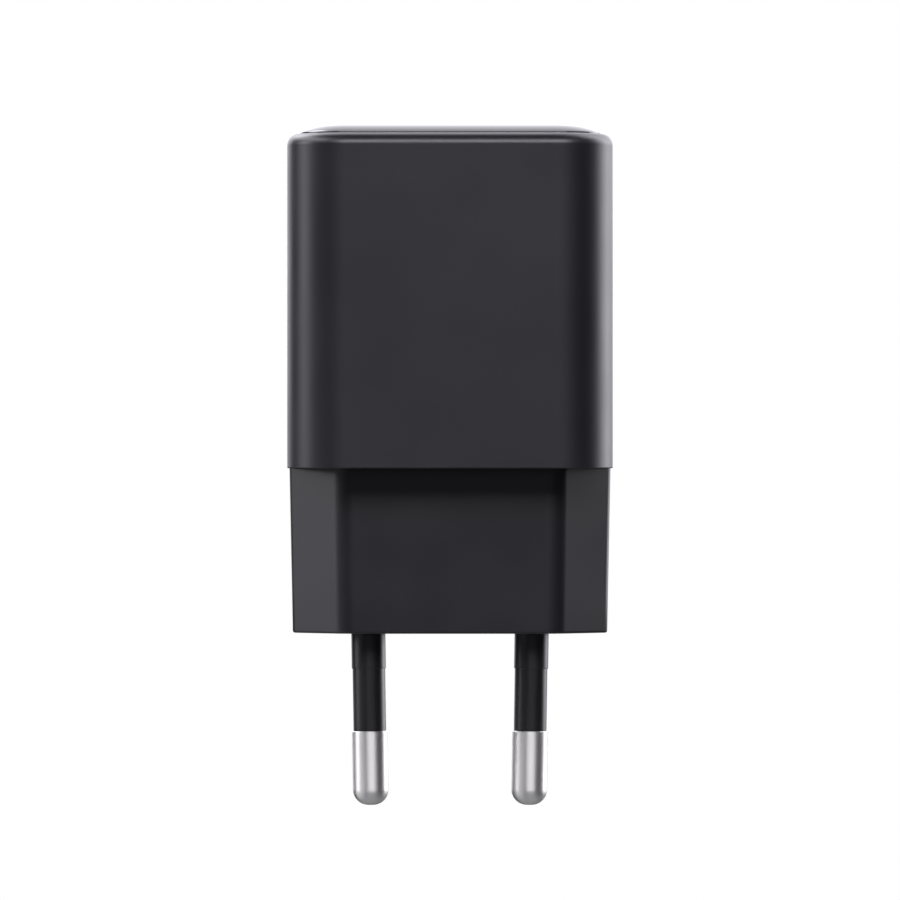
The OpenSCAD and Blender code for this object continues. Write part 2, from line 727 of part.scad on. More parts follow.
// round-cornered board under the face plate that carries both ports
module port_board() color("#1f5a3a") difference() {
    edge_gap = 0.3;
    translate([0, 0, port_board_z]) linear_extrude(board_t)
        rounded_rect(inner_w - 2 * edge_gap, inner_d - 2 * edge_gap,
            housing_corner_r - housing_wall - edge_gap);
    for (x = tenon_x)
        block([x - tenon_w / 2 - 0.1, board_front_y - 0.05, port_board_z - 1],
            [x + tenon_w / 2 + 0.1, board_back_y + 0.05, port_board_top + 1]);
    for (i = [0:3])
        translate([(i - 1.5) * usb_a_pitch, usb_a_tongue_y - usb_a_tongue_t / 2, port_board_z - 1])
            cylinder(d = 1.3, h = board_t + 2);
    for (x = [-1, 1]) {
        translate([x * (usb_a_w - port_steel) / 2, usb_a_y, port_board_z - 1])
            cylinder(d = 1.9, h = board_t + 2);
        translate([x * (usb_c_w - port_steel) / 2, usb_c_y, port_board_z - 1])
            cylinder(d = 1.5, h = board_t + 2);
    }
}

// stamped frame of a port: a thin tube with two solder tabs
module port_frame(y, w, h, r, tab_w) {
    translate([0, y, port_board_top]) rounded_tube(w, h, r, port_steel, mouth_z - port_board_top);
    for (x = [-1, 1])
        translate([x * (w - port_steel) / 2, y, port_board_z - 0.6])
            linear_extrude(board_t + 0.6 + eps) square([port_steel, tab_w], center = true);
}

// steel frame of the rectangular port, with the pressed spring fingers that grip the plug
module usb_a_frame() color("#c4c6c8") {
    finger_w = 2.2;
    finger_low = mouth_z - 6.6;
    finger_h = 4.6;
    slit = 0.35;
    difference() {
        port_frame(usb_a_y, usb_a_w, usb_a_h, 0.5, 1.6);
        for (x = [-1, 1], side = [-1, 1]) difference() {
            translate([x * 3.2, usb_a_y + side * (usb_a_h - port_steel) / 2, finger_low])
                linear_extrude(finger_h)
                    square([finger_w + 2 * slit, 2 * port_steel], center = true);
            translate([x * 3.2, usb_a_y + side * (usb_a_h - port_steel) / 2, finger_low - 1])
                linear_extrude(finger_h + 1 - slit) square([finger_w, 1], center = true);
        }
    }
    // the bump that each finger presses on the plug with
    for (x = [-1, 1], side = [-1, 1])
        translate([x * 3.2, usb_a_y + side * (usb_a_h / 2 - port_steel + 0.15),
            finger_low + finger_h - 1.2]) rotate([0, 90, 0])
            cylinder(r = 0.4, h = finger_w - 0.2, center = true);
}

// moulded tongue and base of the rectangular port, with a groove for each contact
module usb_a_tongue() color("#141415") {
    clear = 0.03;
    difference() {
        union() {
            translate([0, usb_a_y, port_board_top]) linear_extrude(usb_a_base_h)
                rounded_rect(usb_a_w - 2 * (port_steel + clear), usb_a_h - 2 * (port_steel + clear),
                    0.2);
            translate([0, usb_a_tongue_y, port_board_top])
                linear_extrude(mouth_z - 1 - port_board_top)
                    square([usb_a_tongue_w, usb_a_tongue_t], center = true);
        }
        for (i = [0:3])
            translate([(i - 1.5) * usb_a_pitch, usb_a_tongue_y - usb_a_tongue_t / 2,
                port_board_top - 1])
                linear_extrude(mouth_z - port_board_top - 0.6)
                    square([usb_a_strip_w + 0.1, 2 * (strip_t - strip_proud)], center = true);
    }
}

// four gold-plated strips that lie in the tongue's grooves and run down into the port board
module usb_a_contacts() color("#d4af5a") for (i = [0:3])
    translate([(i - 1.5) * usb_a_pitch,
        usb_a_tongue_y - usb_a_tongue_t / 2 + strip_t / 2 - strip_proud, 0]) {
        translate([0, 0, port_board_top]) linear_extrude(mouth_z - 2.2 - port_board_top)
            square([usb_a_strip_w, strip_t], center = true);
        translate([0, 0, port_board_z - 0.6]) linear_extrude(board_t + 0.6 + eps)
            square([lead_d, strip_t], center = true);
    }

module usb_c_frame() color("#c4c6c8")
    port_frame(usb_c_y, usb_c_w, usb_c_h, usb_c_h / 2 - 0.01, 1.2);

// moulded base and thin centre tongue of the oval port
module usb_c_tongue() color("#141415") {
    clear = 0.03;
    in = port_steel + clear;
    translate([0, usb_c_y, port_board_top]) {
        difference() {
            linear_extrude(usb_c_base_h)
                rounded_rect(usb_c_w - 2 * in, usb_c_h - 2 * in, usb_c_h / 2 - in - 0.01);
            for (side = [-1, 1])
                translate([0, side * (usb_c_tongue_t / 2 + strip_t / 2), -1])
                    linear_extrude(usb_c_base_h + 2)
                        square([12 * usb_c_pitch, strip_t + 0.02], center = true);
        }
        linear_extrude(mouth_z - 0.6 - port_board_top)
            square([usb_c_tongue_w, usb_c_tongue_t - 0.02], center = true);
    }
}

// twelve contacts on each face of the thin tongue
module usb_c_contacts() color("#d4af5a") for (i = [0:11], side = [-1, 1])
    translate([(i - 5.5) * usb_c_pitch, usb_c_y + side * (usb_c_tongue_t / 2 + strip_t / 2),
        port_board_top])
        linear_extrude(mouth_z - (i % 3 == 0 ? 1.4 : 1.8) - port_board_top)
            square([usb_c_strip_w, strip_t], center = true);

// ---------------------------------------------------------------- insulation and heat

sheet_half_w = inner_w / 2 - (housing_corner_r - housing_wall) - 0.3;
sheet_low_z = 24.2;
sheet_top_z = 43.2;
spreader_t = 0.5;

// insulating film against the tub's rear wall
module insulation_sheet() color("#dcd7c4") {
    film_t = 0.3;
    block([-sheet_half_w, inner_d / 2 - film_t, sheet_low_z],
        [sheet_half_w, inner_d / 2 - 0.01, sheet_top_z]);
}

// aluminium sheet against the tub's front wall
module heat_spreader() color("#b9bcc0")
    block([-sheet_half_w, 0.01 - inner_d / 2, sheet_low_z],
        [sheet_half_w, spreader_t - inner_d / 2, sheet_top_z]);

// soft grey pad that carries the transformer's heat to the spreader
module thermal_pad() color("#8f9aa6") {
    pad_half_w = 3.2;
    pad_half_h = 4;
    block([trafo_x - pad_half_w, spreader_t - inner_d / 2, trafo_z - pad_half_h],
        [trafo_x + pad_half_w, trafo_y - spool_d / 2 + 0.4, trafo_z + pad_half_h]);
}

// ---------------------------------------------------------------- nodes

housing();
face_plate();
plug_base();
pin_left();
pin_right();
sleeve_left();
sleeve_right();
pin_retainer();
contact_spring_left();
contact_spring_right();
main_board();
port_board();
fuse();
varistor();
filter_inductor();
bridge_rectifier();
x_capacitor();
choke_core();
choke_windings();
bulk_capacitor_front();
bulk_capacitor_rear();
y_capacitor();
transformer_core();
transformer_bobbin();
transformer_windings();
primary_controller();
sync_rectifier();
optocoupler();
small_parts();
output_capacitors();
port_controller();
load_switch();
usb_c_frame();
usb_c_tongue();
usb_c_contacts();
usb_a_frame();
usb_a_tongue();
usb_a_contacts();
insulation_sheet();
heat_spreader();
thermal_pad();
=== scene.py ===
import math
import bmesh
import bpy
from mathutils import Matrix, Vector


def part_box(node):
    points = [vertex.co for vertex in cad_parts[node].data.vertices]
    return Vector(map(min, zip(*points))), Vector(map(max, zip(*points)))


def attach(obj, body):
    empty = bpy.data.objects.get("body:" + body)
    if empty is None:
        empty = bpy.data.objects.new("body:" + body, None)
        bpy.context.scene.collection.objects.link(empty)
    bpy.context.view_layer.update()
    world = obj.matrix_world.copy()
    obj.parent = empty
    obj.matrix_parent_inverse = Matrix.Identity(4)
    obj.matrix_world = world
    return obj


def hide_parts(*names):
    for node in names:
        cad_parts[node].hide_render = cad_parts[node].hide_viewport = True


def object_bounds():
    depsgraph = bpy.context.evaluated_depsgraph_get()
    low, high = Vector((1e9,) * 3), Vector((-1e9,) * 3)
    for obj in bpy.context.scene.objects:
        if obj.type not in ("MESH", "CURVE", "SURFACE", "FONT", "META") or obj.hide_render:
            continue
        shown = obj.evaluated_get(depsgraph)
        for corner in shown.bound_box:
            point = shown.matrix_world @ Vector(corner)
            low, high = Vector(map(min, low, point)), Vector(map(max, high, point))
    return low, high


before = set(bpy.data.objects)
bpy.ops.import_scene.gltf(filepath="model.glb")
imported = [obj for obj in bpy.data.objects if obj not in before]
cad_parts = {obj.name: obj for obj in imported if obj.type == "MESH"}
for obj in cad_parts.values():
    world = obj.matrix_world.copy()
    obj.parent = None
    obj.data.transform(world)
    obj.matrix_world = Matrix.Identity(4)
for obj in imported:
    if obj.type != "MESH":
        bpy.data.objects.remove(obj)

cad_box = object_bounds()

# ------------------------------------------------------------
# Housing: the tub that holds the electronics. Injection moulded in black PC/ABS, open at the
# plug end, with a rounded rim and a ledge inside it for the face plate. The wall is one section
# carried round a rectangle with round corners, and ribs inside make a slot for the main board.
mm = 0.001
rim_r = 1.3 * mm
corner_r = 6.6 * mm
tub_wall = 1.8 * mm
rim_lip = 0.05 * mm
recess_in = 1.22 * mm
recess_depth = 1.35 * mm
ledge_w = 2.0 * mm
ledge_t = 1.4 * mm
lid_seat_in = 1.3 * mm
lid_seat_h = 2.0 * mm
foot_r = 0.12 * mm
rib_t = 0.8 * mm
rib_from_mouth = 5.6 * mm
slot_gap = 0.05 * mm

tub_low, tub_high = (Vector(v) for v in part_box("housing"))
tub_w, tub_d = tub_high.x - tub_low.x, tub_high.y - tub_low.y
mouth_z, rim_z = tub_low.z, tub_high.z
ledge_z = rim_z - recess_depth


def paint(hex_colour, alpha=1.0):
    """sRGB hex to the linear colour a shader takes."""
    parts = [int(hex_colour[i:i + 2], 16) / 255 for i in (1, 3, 5)]
    return [c / 12.92 if c <= 0.04045 else ((c + 0.055) / 1.055) ** 2.4 for c in parts] + [alpha]


def add(tree, kind, inputs=None, **settings):
    """One node with its settings, and its inputs as values or as other nodes' outputs."""
    node = tree.nodes.new(kind)
    for name, value in settings.items():
        setattr(node, name, value)
    for key, value in (inputs or {}).items():
        if isinstance(value, bpy.types.NodeSocket):
            tree.links.new(value, node.inputs[key])
        else:
            node.inputs[key].default_value = value
    return node


def new_material(name):
    material = bpy.data.materials.new(name)
    material.use_nodes = True
    material.node_tree.nodes.clear()
    return material, material.node_tree


def speckle(tree, size, stretch=(1, 1, 1), detail=3.0, roughness=0.5, turn=0.0):
    """Noise of a given grain size, drawn out by a stretch and turned about z."""
    place = add(tree, "ShaderNodeTexCoord")
    across = add(tree, "ShaderNodeMapping", {
        "Vector": place.outputs["Object"], "Rotation": (0, 0, turn),
        "Scale": tuple(1 / (size * s) for s in stretch)})
    return add(tree, "ShaderNodeTexNoise", {
        "Vector": across.outputs["Vector"], "Scale": 1.0, "Detail": detail,
        "Roughness": roughness}).outputs["Fac"]


def between(tree, value, low, high, start=0.3, end=0.7):
    """Brings a pattern from one span of values to another."""
    return add(tree, "ShaderNodeMapRange", {
        "Value": value, "From Min": start, "From Max": end, "To Min": low,
        "To Max": high}).outputs["Result"]


def mottled(tree, size, low, high, stretch=(1, 1, 1), detail=3.0):
    """Noise of a given grain size, and the same noise brought between two values."""
    noise = speckle(tree, size, stretch, detail)
    return noise, between(tree, noise, low, high)


def bumpy(tree, height, strength, depth):
    """The surface's direction, roughened by a pattern of the given depth."""
    return add(tree, "ShaderNodeBump", {
        "Height": height, "Strength": strength, "Distance": depth}).outputs["Normal"]


def shade(tree, values):
    """Closes a material with its surface."""
    surface = add(tree, "ShaderNodeBsdfPrincipled", values)
    add(tree, "ShaderNodeOutputMaterial", {"Surface": surface.outputs["BSDF"]})


def arc(x, y, r, start, end, steps):
    """Points on a circle, angles in degrees."""
    return [(x + r * math.cos(math.radians(start + (end - start) * i / steps)),
             y + r * math.sin(math.radians(start + (end - start) * i / steps)))
            for i in range(steps + 1)]


def make_piece(name, bm, material, sharp=28):
    """A closed shell as an object at the origin: doubles merged, faces out, flats kept flat."""
    bmesh.ops.remove_doubles(bm, verts=bm.verts, dist=0.002 * mm)
    bmesh.ops.dissolve_degenerate(bm, edges=bm.edges, dist=0.001 * mm)
    bmesh.ops.recalc_face_normals(bm, faces=bm.faces)
    mesh = bpy.data.meshes.new(name)
    bm.to_mesh(mesh)
    bm.free()
    mesh.shade_smooth()
    mesh.set_sharp_from_angle(angle=math.radians(sharp))
    mesh.materials.clear()
    mesh.materials.append(material)
    piece = bpy.data.objects.new(name, mesh)
    bpy.context.scene.collection.objects.link(piece)
    even = piece.modifiers.new("even shading", "WEIGHTED_NORMAL")
    even.keep_sharp = True
    return piece


# PC/ABS, moulded against a fine spark-eroded steel: satin, so the studio's panels show in it as
# soft-edged bands, with a grain of about 0.1 mm that only breaks up the highlights.
satin_abs, tree = new_material("moulded black PC/ABS")
grain = speckle(tree, 0.14 * mm, roughness=0.6)
polish = between(tree, speckle(tree, 9 * mm, detail=2.0), 0.36, 0.4)
shade(tree, {"Base Color": paint("#110f15"), "Roughness": polish, "IOR": 1.5,
             "Normal": bumpy(tree, grain, 0.35, 0.002 * mm)})

# section of the wall: x is out from the wall's outer face, y is height
wall_section = arc(-foot_r, mouth_z + foot_r, foot_r, -90, 0, 3)
wall_section += arc(-rim_r, rim_z - rim_r, rim_r, 0, 86, 14)
wall_section += [
    (-recess_in, rim_z - rim_lip), (-recess_in, ledge_z),
    (-recess_in - ledge_w, ledge_z), (-recess_in - ledge_w, ledge_z - ledge_t),
    (-tub_wall, ledge_z - ledge_t - recess_in - ledge_w + tub_wall),
    (-tub_wall, mouth_z + lid_seat_h), (-lid_seat_in, mouth_z + lid_seat_h),
    (-lid_seat_in, mouth_z + 0.04 * mm), (-lid_seat_in, mouth_z)]

sweep = bpy.data.node_groups.new("wall carried round a rectangle", "GeometryNodeTree")
for label, kind in (("Section", "Geometry"), ("Width", "Float"), ("Depth", "Float"),
                    ("Corner Radius", "Float"), ("Corner Steps", "Int"), ("Material", "Material")):
    sweep.interface.new_socket(label, in_out="INPUT", socket_type="NodeSocket" + kind)
sweep.interface.new_socket("Wall", in_out="OUTPUT", socket_type="NodeSocketGeometry")
given = add(sweep, "NodeGroupInput").outputs
outline = add(sweep, "GeometryNodeCurvePrimitiveQuadrilateral", {
    "Width": given["Width"], "Height": given["Depth"]})
rounded = add(sweep, "GeometryNodeFilletCurve", {
    "Curve": outline.outputs["Curve"], "Count": given["Corner Steps"],
    "Radius": given["Corner Radius"]}, mode="POLY")
upright = add(sweep, "GeometryNodeSetCurveNormal", {"Curve": rounded.outputs["Curve"]}, mode="Z_UP")
section_curve = add(sweep, "GeometryNodeMeshToCurve", {"Mesh": given["Section"]})
carried = add(sweep, "GeometryNodeCurveToMesh", {
    "Curve": upright.outputs["Curve"], "Profile Curve": section_curve.outputs["Curve"]})
solid = add(sweep, "GeometryNodeRealizeInstances", {"Geometry": carried.outputs["Mesh"]})
coloured = add(sweep, "GeometryNodeSetMaterial", {
    "Geometry": solid.outputs["Geometry"], "Material": given["Material"]})
add(sweep, "NodeGroupOutput", {"Wall": coloured.outputs["Geometry"]})


def grow(tree, start, values):
    """Runs a Geometry Nodes tree on a starting mesh and gives the result as a bmesh."""
    holder = bpy.data.objects.new("holder", start)
    bpy.context.scene.collection.objects.link(holder)
    run = holder.modifiers.new("run", "NODES")
    run.node_group = tree
    sockets = {s.name: s.identifier for s in tree.interface.items_tree if s.in_out == "INPUT"}
    for label, value in values.items():
        run[sockets[label]] = value
    bpy.context.view_layer.update()
    shaped = bpy.data.meshes.new_from_object(
        holder.evaluated_get(bpy.context.evaluated_depsgraph_get()))
    grown = bmesh.new()
    grown.from_mesh(shaped)
    bpy.data.objects.remove(holder)
    bpy.data.meshes.remove(shaped)
    return grown


def add_block(bm, low, high):
    made = bmesh.ops.create_cube(bm, size=1)["verts"]
    low, high = Vector(low), Vector(high)
    bmesh.ops.scale(bm, verts=made, vec=high - low)
    bmesh.ops.translate(bm, verts=made, vec=(low + high) / 2)
    return made


section = bpy.data.meshes.new("wall section")
section.from_pydata([(x, -y, 0) for x, y in wall_section],
                    [(i, (i + 1) % len(wall_section)) for i in range(len(wall_section))], [])
tub = grow(sweep, section, {
    "Width": tub_w, "Depth": tub_d, "Corner Radius": corner_r, "Corner Steps": 24,
    "Material": satin_abs})
board_low, board_high = (Vector(v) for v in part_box("main_board"))
for side in (-1, 1):
    for near, far in ((board_low.y - slot_gap - rib_t, board_low.y - slot_gap),
                      (board_high.y + slot_gap, board_high.y + slot_gap + rib_t)):
        edges = sorted((side * (board_high.x - 0.6 * mm), side * (tub_w / 2 - tub_wall + 0.3 * mm)))
        add_block(tub, (edges[0], near, mouth_z + rib_from_mouth),
                  (edges[1], far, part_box("port_board")[0][2]))
housing = make_piece("housing_visual", tub, satin_abs)
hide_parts("housing")
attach(housing, "root")

# ------------------------------------------------------------
# Face plate: the polished cap in the top, where the cables go in. Moulded in black
# polycarbonate with a low crown whose border curves down to the rim, and snapped into the
# recess with a hair of a gap all round. The two port openings have eased edges.
plate_low, plate_high = (Vector(v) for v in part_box("face_plate"))
plate_top_z = plate_high.z
plate_half = plate_high.xy
plate_corner_r = 5.26 * mm
crown_w = 3.3 * mm
edge_proud = 0.15 * mm
crown_h = plate_top_z - rim_z - edge_proud
opening_a_r, opening_c_r = 0.65 * mm, 1.7 * mm
skirt_in = 2.15 * mm
skirt_wall = 1.0 * mm
port_gap = 0.15 * mm
opening_lip_r = 0.35 * mm


def rounded_ring(half_w, half_d, r, z, steps=16, centre=(0, 0)):
    """A rectangle with round corners, as points in order."""
    r = max(r, 0.01 * mm)
    points = []
    for start, sx, sy in ((0, 1, 1), (90, -1, 1), (180, -1, -1), (270, 1, -1)):
        points += arc(centre[0] + sx * (half_w - r), centre[1] + sy * (half_d - r), r,
                      start, start + 90, steps)
    return [Vector((x, y, z)) for x, y in points]


def loft(bm, rings, ends=True, ring_closed=False):
    """Skin over rings of equal length, with flat ends or with the last ring joined to the first."""
    loops = [[bm.verts.new(p) for p in ring] for ring in rings]
    pairs = list(zip(loops, loops[1:])) + ([(loops[-1], loops[0])] if ring_closed else [])
    for one, two in pairs:
        for i in range(len(one)):
            j = (i + 1) % len(one)
            bm.faces.new((one[i], one[j], two[j], two[i]))
    if ends and not ring_closed:
        bm.faces.new(loops[0])
        bm.faces.new(loops[-1])
    bmesh.ops.recalc_face_normals(bm, faces=bm.faces)
    return bm


def cut(bm, tools, operation="DIFFERENCE"):
    """Exact boolean of one closed shell with others, as a bmesh."""
    def holder(shape):
        bmesh.ops.remove_doubles(shape, verts=shape.verts, dist=0.001 * mm)
        bmesh.ops.recalc_face_normals(shape, faces=shape.faces)
        mesh = bpy.data.meshes.new("shape")
        shape.to_mesh(mesh)
        shape.free()
        made = bpy.data.objects.new("shape", mesh)
        bpy.context.scene.collection.objects.link(made)
        return made
    base = holder(bm)
    helpers = [holder(tool) for tool in tools]
    for helper in helpers:
        step = base.modifiers.new("cut", "BOOLEAN")
        step.operation, step.object, step.solver = operation, helper, "EXACT"
    bpy.context.view_layer.update()
    shaped = bpy.data.meshes.new_from_object(
        base.evaluated_get(bpy.context.evaluated_depsgraph_get()))
    result = bmesh.new()
    result.from_mesh(shaped)
    for used in [base] + helpers:
        bpy.data.objects.remove(used)
    bpy.data.meshes.remove(shaped)
    return result


# Polycarbonate, moulded against polished steel: glossy, so it mirrors the white behind it, with
# faint handling scratches that only show in the reflection.
gloss_pc, tree = new_material("polished black polycarbonate")
scratches = speckle(tree, 0.08 * mm, (1, 37.5, 37.5), 2.0, turn=0.6)
hazy = between(tree, scratches, 0.09, 0.14, 0.35, 0.75)
shade(tree, {"Base Color": paint("#0b0a0f"), "Roughness": hazy, "IOR": 1.585})


def plate_ring(inset, z):
    return rounded_ring(plate_half.x - inset, plate_half.y - inset, plate_corner_r - inset, z)


crown_r = (crown_w ** 2 + crown_h ** 2) / (2 * crown_h)
crown_end = math.degrees(math.acos(crown_w / crown_r))
border = [(plate_half.x - x, z) for x, z in arc(plate_half.x - crown_w, plate_top_z - crown_r,
                                                 crown_r, crown_end, 90, 14)]
edge_drop = border[0][1] - 0.06 * mm
plate_rings = [plate_ring(skirt_in + skirt_wall, ledge_z),
               plate_ring(skirt_in + skirt_wall, plate_low.z), plate_ring(skirt_in, plate_low.z),
               plate_ring(skirt_in, ledge_z), plate_ring(0.05 * mm, ledge_z),
               plate_ring(0, ledge_z + 0.05 * mm), plate_ring(0, edge_drop),
               plate_ring(0.02 * mm, edge_drop + 0.045 * mm)]
plate_rings += [plate_ring(inset, z) for inset, z in border[1:]]
plate = loft(bmesh.new(), plate_rings)


def opening(low, high, r, top_z):
    """Cutter for a port opening: straight, then flared by the lip radius at the top."""
    half_w, half_d = (high.x - low.x) / 2 + port_gap, (high.y - low.y) / 2 + port_gap
    centre = ((low.x + high.x) / 2, (low.y + high.y) / 2)
    rings = [rounded_ring(half_w, half_d, r, plate_low.z - 2 * mm, 10, centre)]
    for out, z in arc(opening_lip_r, top_z - opening_lip_r, opening_lip_r, 180, 90, 6):
        rings.append(rounded_ring(half_w + out, half_d + out, r + out, z, 10, centre))
    rings.append(rounded_ring(half_w + opening_lip_r, half_d + opening_lip_r,
                              r + opening_lip_r, top_z + 1 * mm, 10, centre))
    return loft(bmesh.new(), rings)


port_a_low, port_a_high = (Vector(v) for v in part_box("usb_a_frame"))
port_c_low, port_c_high = (Vector(v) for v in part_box("usb_c_frame"))
plate = cut(plate, [opening(port_a_low, port_a_high, opening_a_r, plate_top_z),
                    opening(port_c_low, port_c_high, opening_c_r, plate_top_z)])
face_plate = make_piece("face_plate_visual", plate, gloss_pc)
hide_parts("face_plate")
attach(face_plate, "root")

# ------------------------------------------------------------
# Plug base: the eight-sided body that enters the wall socket, moulded with the flange that
# closes the tub and is welded to it. It tapers slightly so that it leaves the mould, its folds
# are rounder on the broad faces, and it is hollow above the floor that the pins are fixed in.
base_w, base_t = 35.1 * mm, 13.7 * mm
base_top_w, base_top_t = 35.85 * mm, 13.9 * mm
base_chamfer = 5.75 * mm
broad_fold_r, side_fold_r = 3.4 * mm, 1.0 * mm
base_edge_r = 0.25 * mm
base_wall, floor_t = 1.6 * mm, 2.4 * mm
flange_in, flange_t, locating_in, locating_wall = 1.35 * mm, 2.0 * mm, 1.9 * mm, 1.0 * mm
pin_spacing, pin_tip_spacing, pin_reach = 18.25 * mm, 17.65 * mm, 19.25 * mm
shank_r, head_r, head_t = 1.5 * mm, 2.5 * mm, 1.0 * mm
collar_r, collar_l, collar_seat = 1.91 * mm, 4.0 * mm, 1.2 * mm
retainer_t = 1.6 * mm
pin_lean = math.atan((pin_spacing - pin_tip_spacing) / 2 / pin_reach)
base_top_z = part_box("plug_base")[1].z


def folded_ring(w, t, inset, z, steps=8):
    """The plug body's outline: eight folds of 45 degrees."""
    lean = math.tan(math.radians(22.5))
    chamfer = base_chamfer * w / base_w
    side = (w / 2 - side_fold_r, t / 2 - chamfer - side_fold_r * lean, side_fold_r - inset)
    broad = (w / 2 - chamfer - broad_fold_r * lean, t / 2 - broad_fold_r, broad_fold_r - inset)
    points = []
    for k in range(8):
        x, y, r = side if k % 4 in (0, 3) else broad
        points += arc(x if k in (0, 1, 6, 7) else -x, y if k < 4 else -y, r,
                      45 * k, 45 * k + 45, steps)
    return [Vector((px, py, z)) for px, py in points]


def base_ring(inset, z):
    part_way = z / mouth_z
    return folded_ring(base_w + (base_top_w - base_w) * part_way,
                       base_t + (base_top_t - base_t) * part_way, inset, z)


def hollow_ring(z):
    half_w, half_t = base_w / 2 - base_wall, base_t / 2 - base_wall
    c = base_chamfer - base_wall * (2 - math.sqrt(2))
    corner = [(half_w, half_t - c), (half_w - c, half_t)]
    return [Vector((x, y, z)) for x, y in
            corner + [(-x, y) for x, y in corner[::-1]] + [(-x, -y) for x, y in corner]
            + [(x, -y) for x, y in corner[::-1]]]


def turned(bm, profile, side, steps=64):
    """A turned shape on a pin's leaning axis: profile is radius and height, poles closed."""
    loops = []
    for r, z in profile:
        if r < 0.001 * mm:
            loops.append([bm.verts.new((0, 0, z))] * steps)
        else:
            loops.append([bm.verts.new((r * math.cos(2 * math.pi * i / steps),
                                        r * math.sin(2 * math.pi * i / steps), z))
                          for i in range(steps)])
    for one, two in zip(loops, loops[1:] + loops[:1]):
        for i in range(steps):
            j = (i + 1) % steps
            corners = list(dict.fromkeys((one[i], one[j], two[j], two[i])))
            if len(corners) > 2:
                bm.faces.new(corners)
    lean = Matrix.Translation((side * pin_spacing / 2, 0, 0)) @ Matrix.Rotation(
        side * pin_lean, 4, "Y")
    bmesh.ops.transform(bm, matrix=lean, verts=list({v for loop in loops for v in loop}))
    return bm


def join(base, extras):
    """Adds other closed shells to a piece's bmesh."""
    for extra in extras:
        kept = bpy.data.meshes.new("extra")
        extra.to_mesh(kept)
        extra.free()
        base.from_mesh(kept)
        bpy.data.meshes.remove(kept)
    return base


# PC/ABS again, from a tool polished a little further, so it is a shade glossier than the tub.
base_abs, tree = new_material("moulded black PC/ABS, plug")
grain = speckle(tree, 0.16 * mm, roughness=0.6)
polish = between(tree, speckle(tree, 7 * mm, detail=2.0), 0.32, 0.36)
shade(tree, {"Base Color": paint("#110f15"), "Roughness": polish, "IOR": 1.5,
             "Normal": bumpy(tree, grain, 0.35, 0.0025 * mm)})

body_rings = [base_ring(inset, z) for inset, z in
              ((base_edge_r - x, base_edge_r - y) for x, y in arc(0, 0, base_edge_r, 90, 0, 4))]
body_rings += [base_ring(0, mouth_z * i / 4) for i in range(1, 5)]
body = loft(bmesh.new(), body_rings)
neck = loft(bmesh.new(), [rounded_ring(14 * mm, 6 * mm, 2 * mm, z) for z in
                          (mouth_z - 0.8 * mm, mouth_z + 0.8 * mm)])
half_w, half_d = tub_w / 2 - flange_in, tub_d / 2 - flange_in
flange_ring = [rounded_ring(half_w - i, half_d - i, corner_r - flange_in - i, z) for i, z in
               ((0.1 * mm, mouth_z), (0, mouth_z + 0.1 * mm), (0, mouth_z + flange_t))]
inner = locating_in - flange_in
flange_ring += [rounded_ring(half_w - i, half_d - i, corner_r - flange_in - i, z) for i, z in
                ((inner, mouth_z + flange_t), (inner, base_top_z),
                 (inner + locating_wall, base_top_z), (inner + locating_wall, mouth_z + flange_t))]
flange = loft(bmesh.new(), flange_ring)
body = cut(body, [flange, neck], "UNION")
hollow = loft(bmesh.new(), [hollow_ring(z) for z in (floor_t, mouth_z + flange_t + 1 * mm)])
seat_r, hole_r = collar_r + 0.03 * mm, shank_r + 0.05 * mm
bores = [turned(bmesh.new(), [(0, -1 * mm), (seat_r, -1 * mm), (seat_r, collar_seat),
                              (hole_r, collar_seat), (hole_r, floor_t + 1 * mm),
                              (0, floor_t + 1 * mm)], side) for side in (-1, 1)]
body = cut(body, [hollow] + bores)
ring_inner, ring_outer, root_z = head_r + 0.15 * mm, head_r + 1.1 * mm, floor_t - 0.05 * mm
head_top_z = floor_t + head_t
post_r, post_x, post_top_z = 0.8 * mm, 3.4 * mm, head_top_z + retainer_t + 0.05 * mm
for side in (-1, 1):
    ring = turned(bmesh.new(), [(ring_inner, root_z), (ring_outer, root_z),
                                (ring_outer, head_top_z), (ring_inner, head_top_z)], side)
    post = turned(bmesh.new(), [(0, root_z), (2 * post_r, root_z), (2 * post_r, head_top_z),
                                (post_r, head_top_z), (post_r, post_top_z),
                                (1.5 * post_r, post_top_z), (1.1 * post_r, post_top_z + 0.6 * mm),
                                (0, post_top_z + 0.6 * mm)], 0, 32)
    bmesh.ops.translate(post, verts=post.verts, vec=(side * post_x, 0, 0))
    for extra in (ring, post):
        bmesh.ops.recalc_face_normals(extra, faces=extra.faces)
    join(body, [ring, post])
plug_base = make_piece("plug_base_visual", body, base_abs)
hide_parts("plug_base")
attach(plug_base, "root")

# ------------------------------------------------------------
# Pins: each is turned from brass rod, rounded at the tip, thinner where the sleeve covers it and
# headed where it is caught in the floor, then nickel plated. Both lean in a little, so that they
# spring against the socket's contacts.
pin_r, pin_tip_r, pin_bare_l, stud_l = 2.0 * mm, 1.75 * mm, 8.25 * mm, 3.4 * mm
bare_z = pin_bare_l - pin_reach
eased, head_clear = 0.04 * mm, 0.06 * mm
head_low_z, head_high_z = floor_t + head_clear, floor_t + head_t - head_clear
stud_r = shank_r - 0.1 * mm

# Nickel over turned brass: a bright neutral white. The fine tool marks under the plating run
# round the pin, and so draw its reflections out along its length.
nickel, tree = new_material("bright nickel plate on turned brass")
buffed = between(tree, speckle(tree, 0.05 * mm, (120, 120, 1)), 0.42, 0.48)
round_pin = add(tree, "ShaderNodeTangent", direction_type="RADIAL", axis="Z")
shade(tree, {"Base Color": paint("#cac9c6"), "Metallic": 1.0, "Roughness": buffed,
             "Anisotropic": 0.6, "Anisotropic Rotation": 0.25,
             "Tangent": round_pin.outputs["Tangent"]})

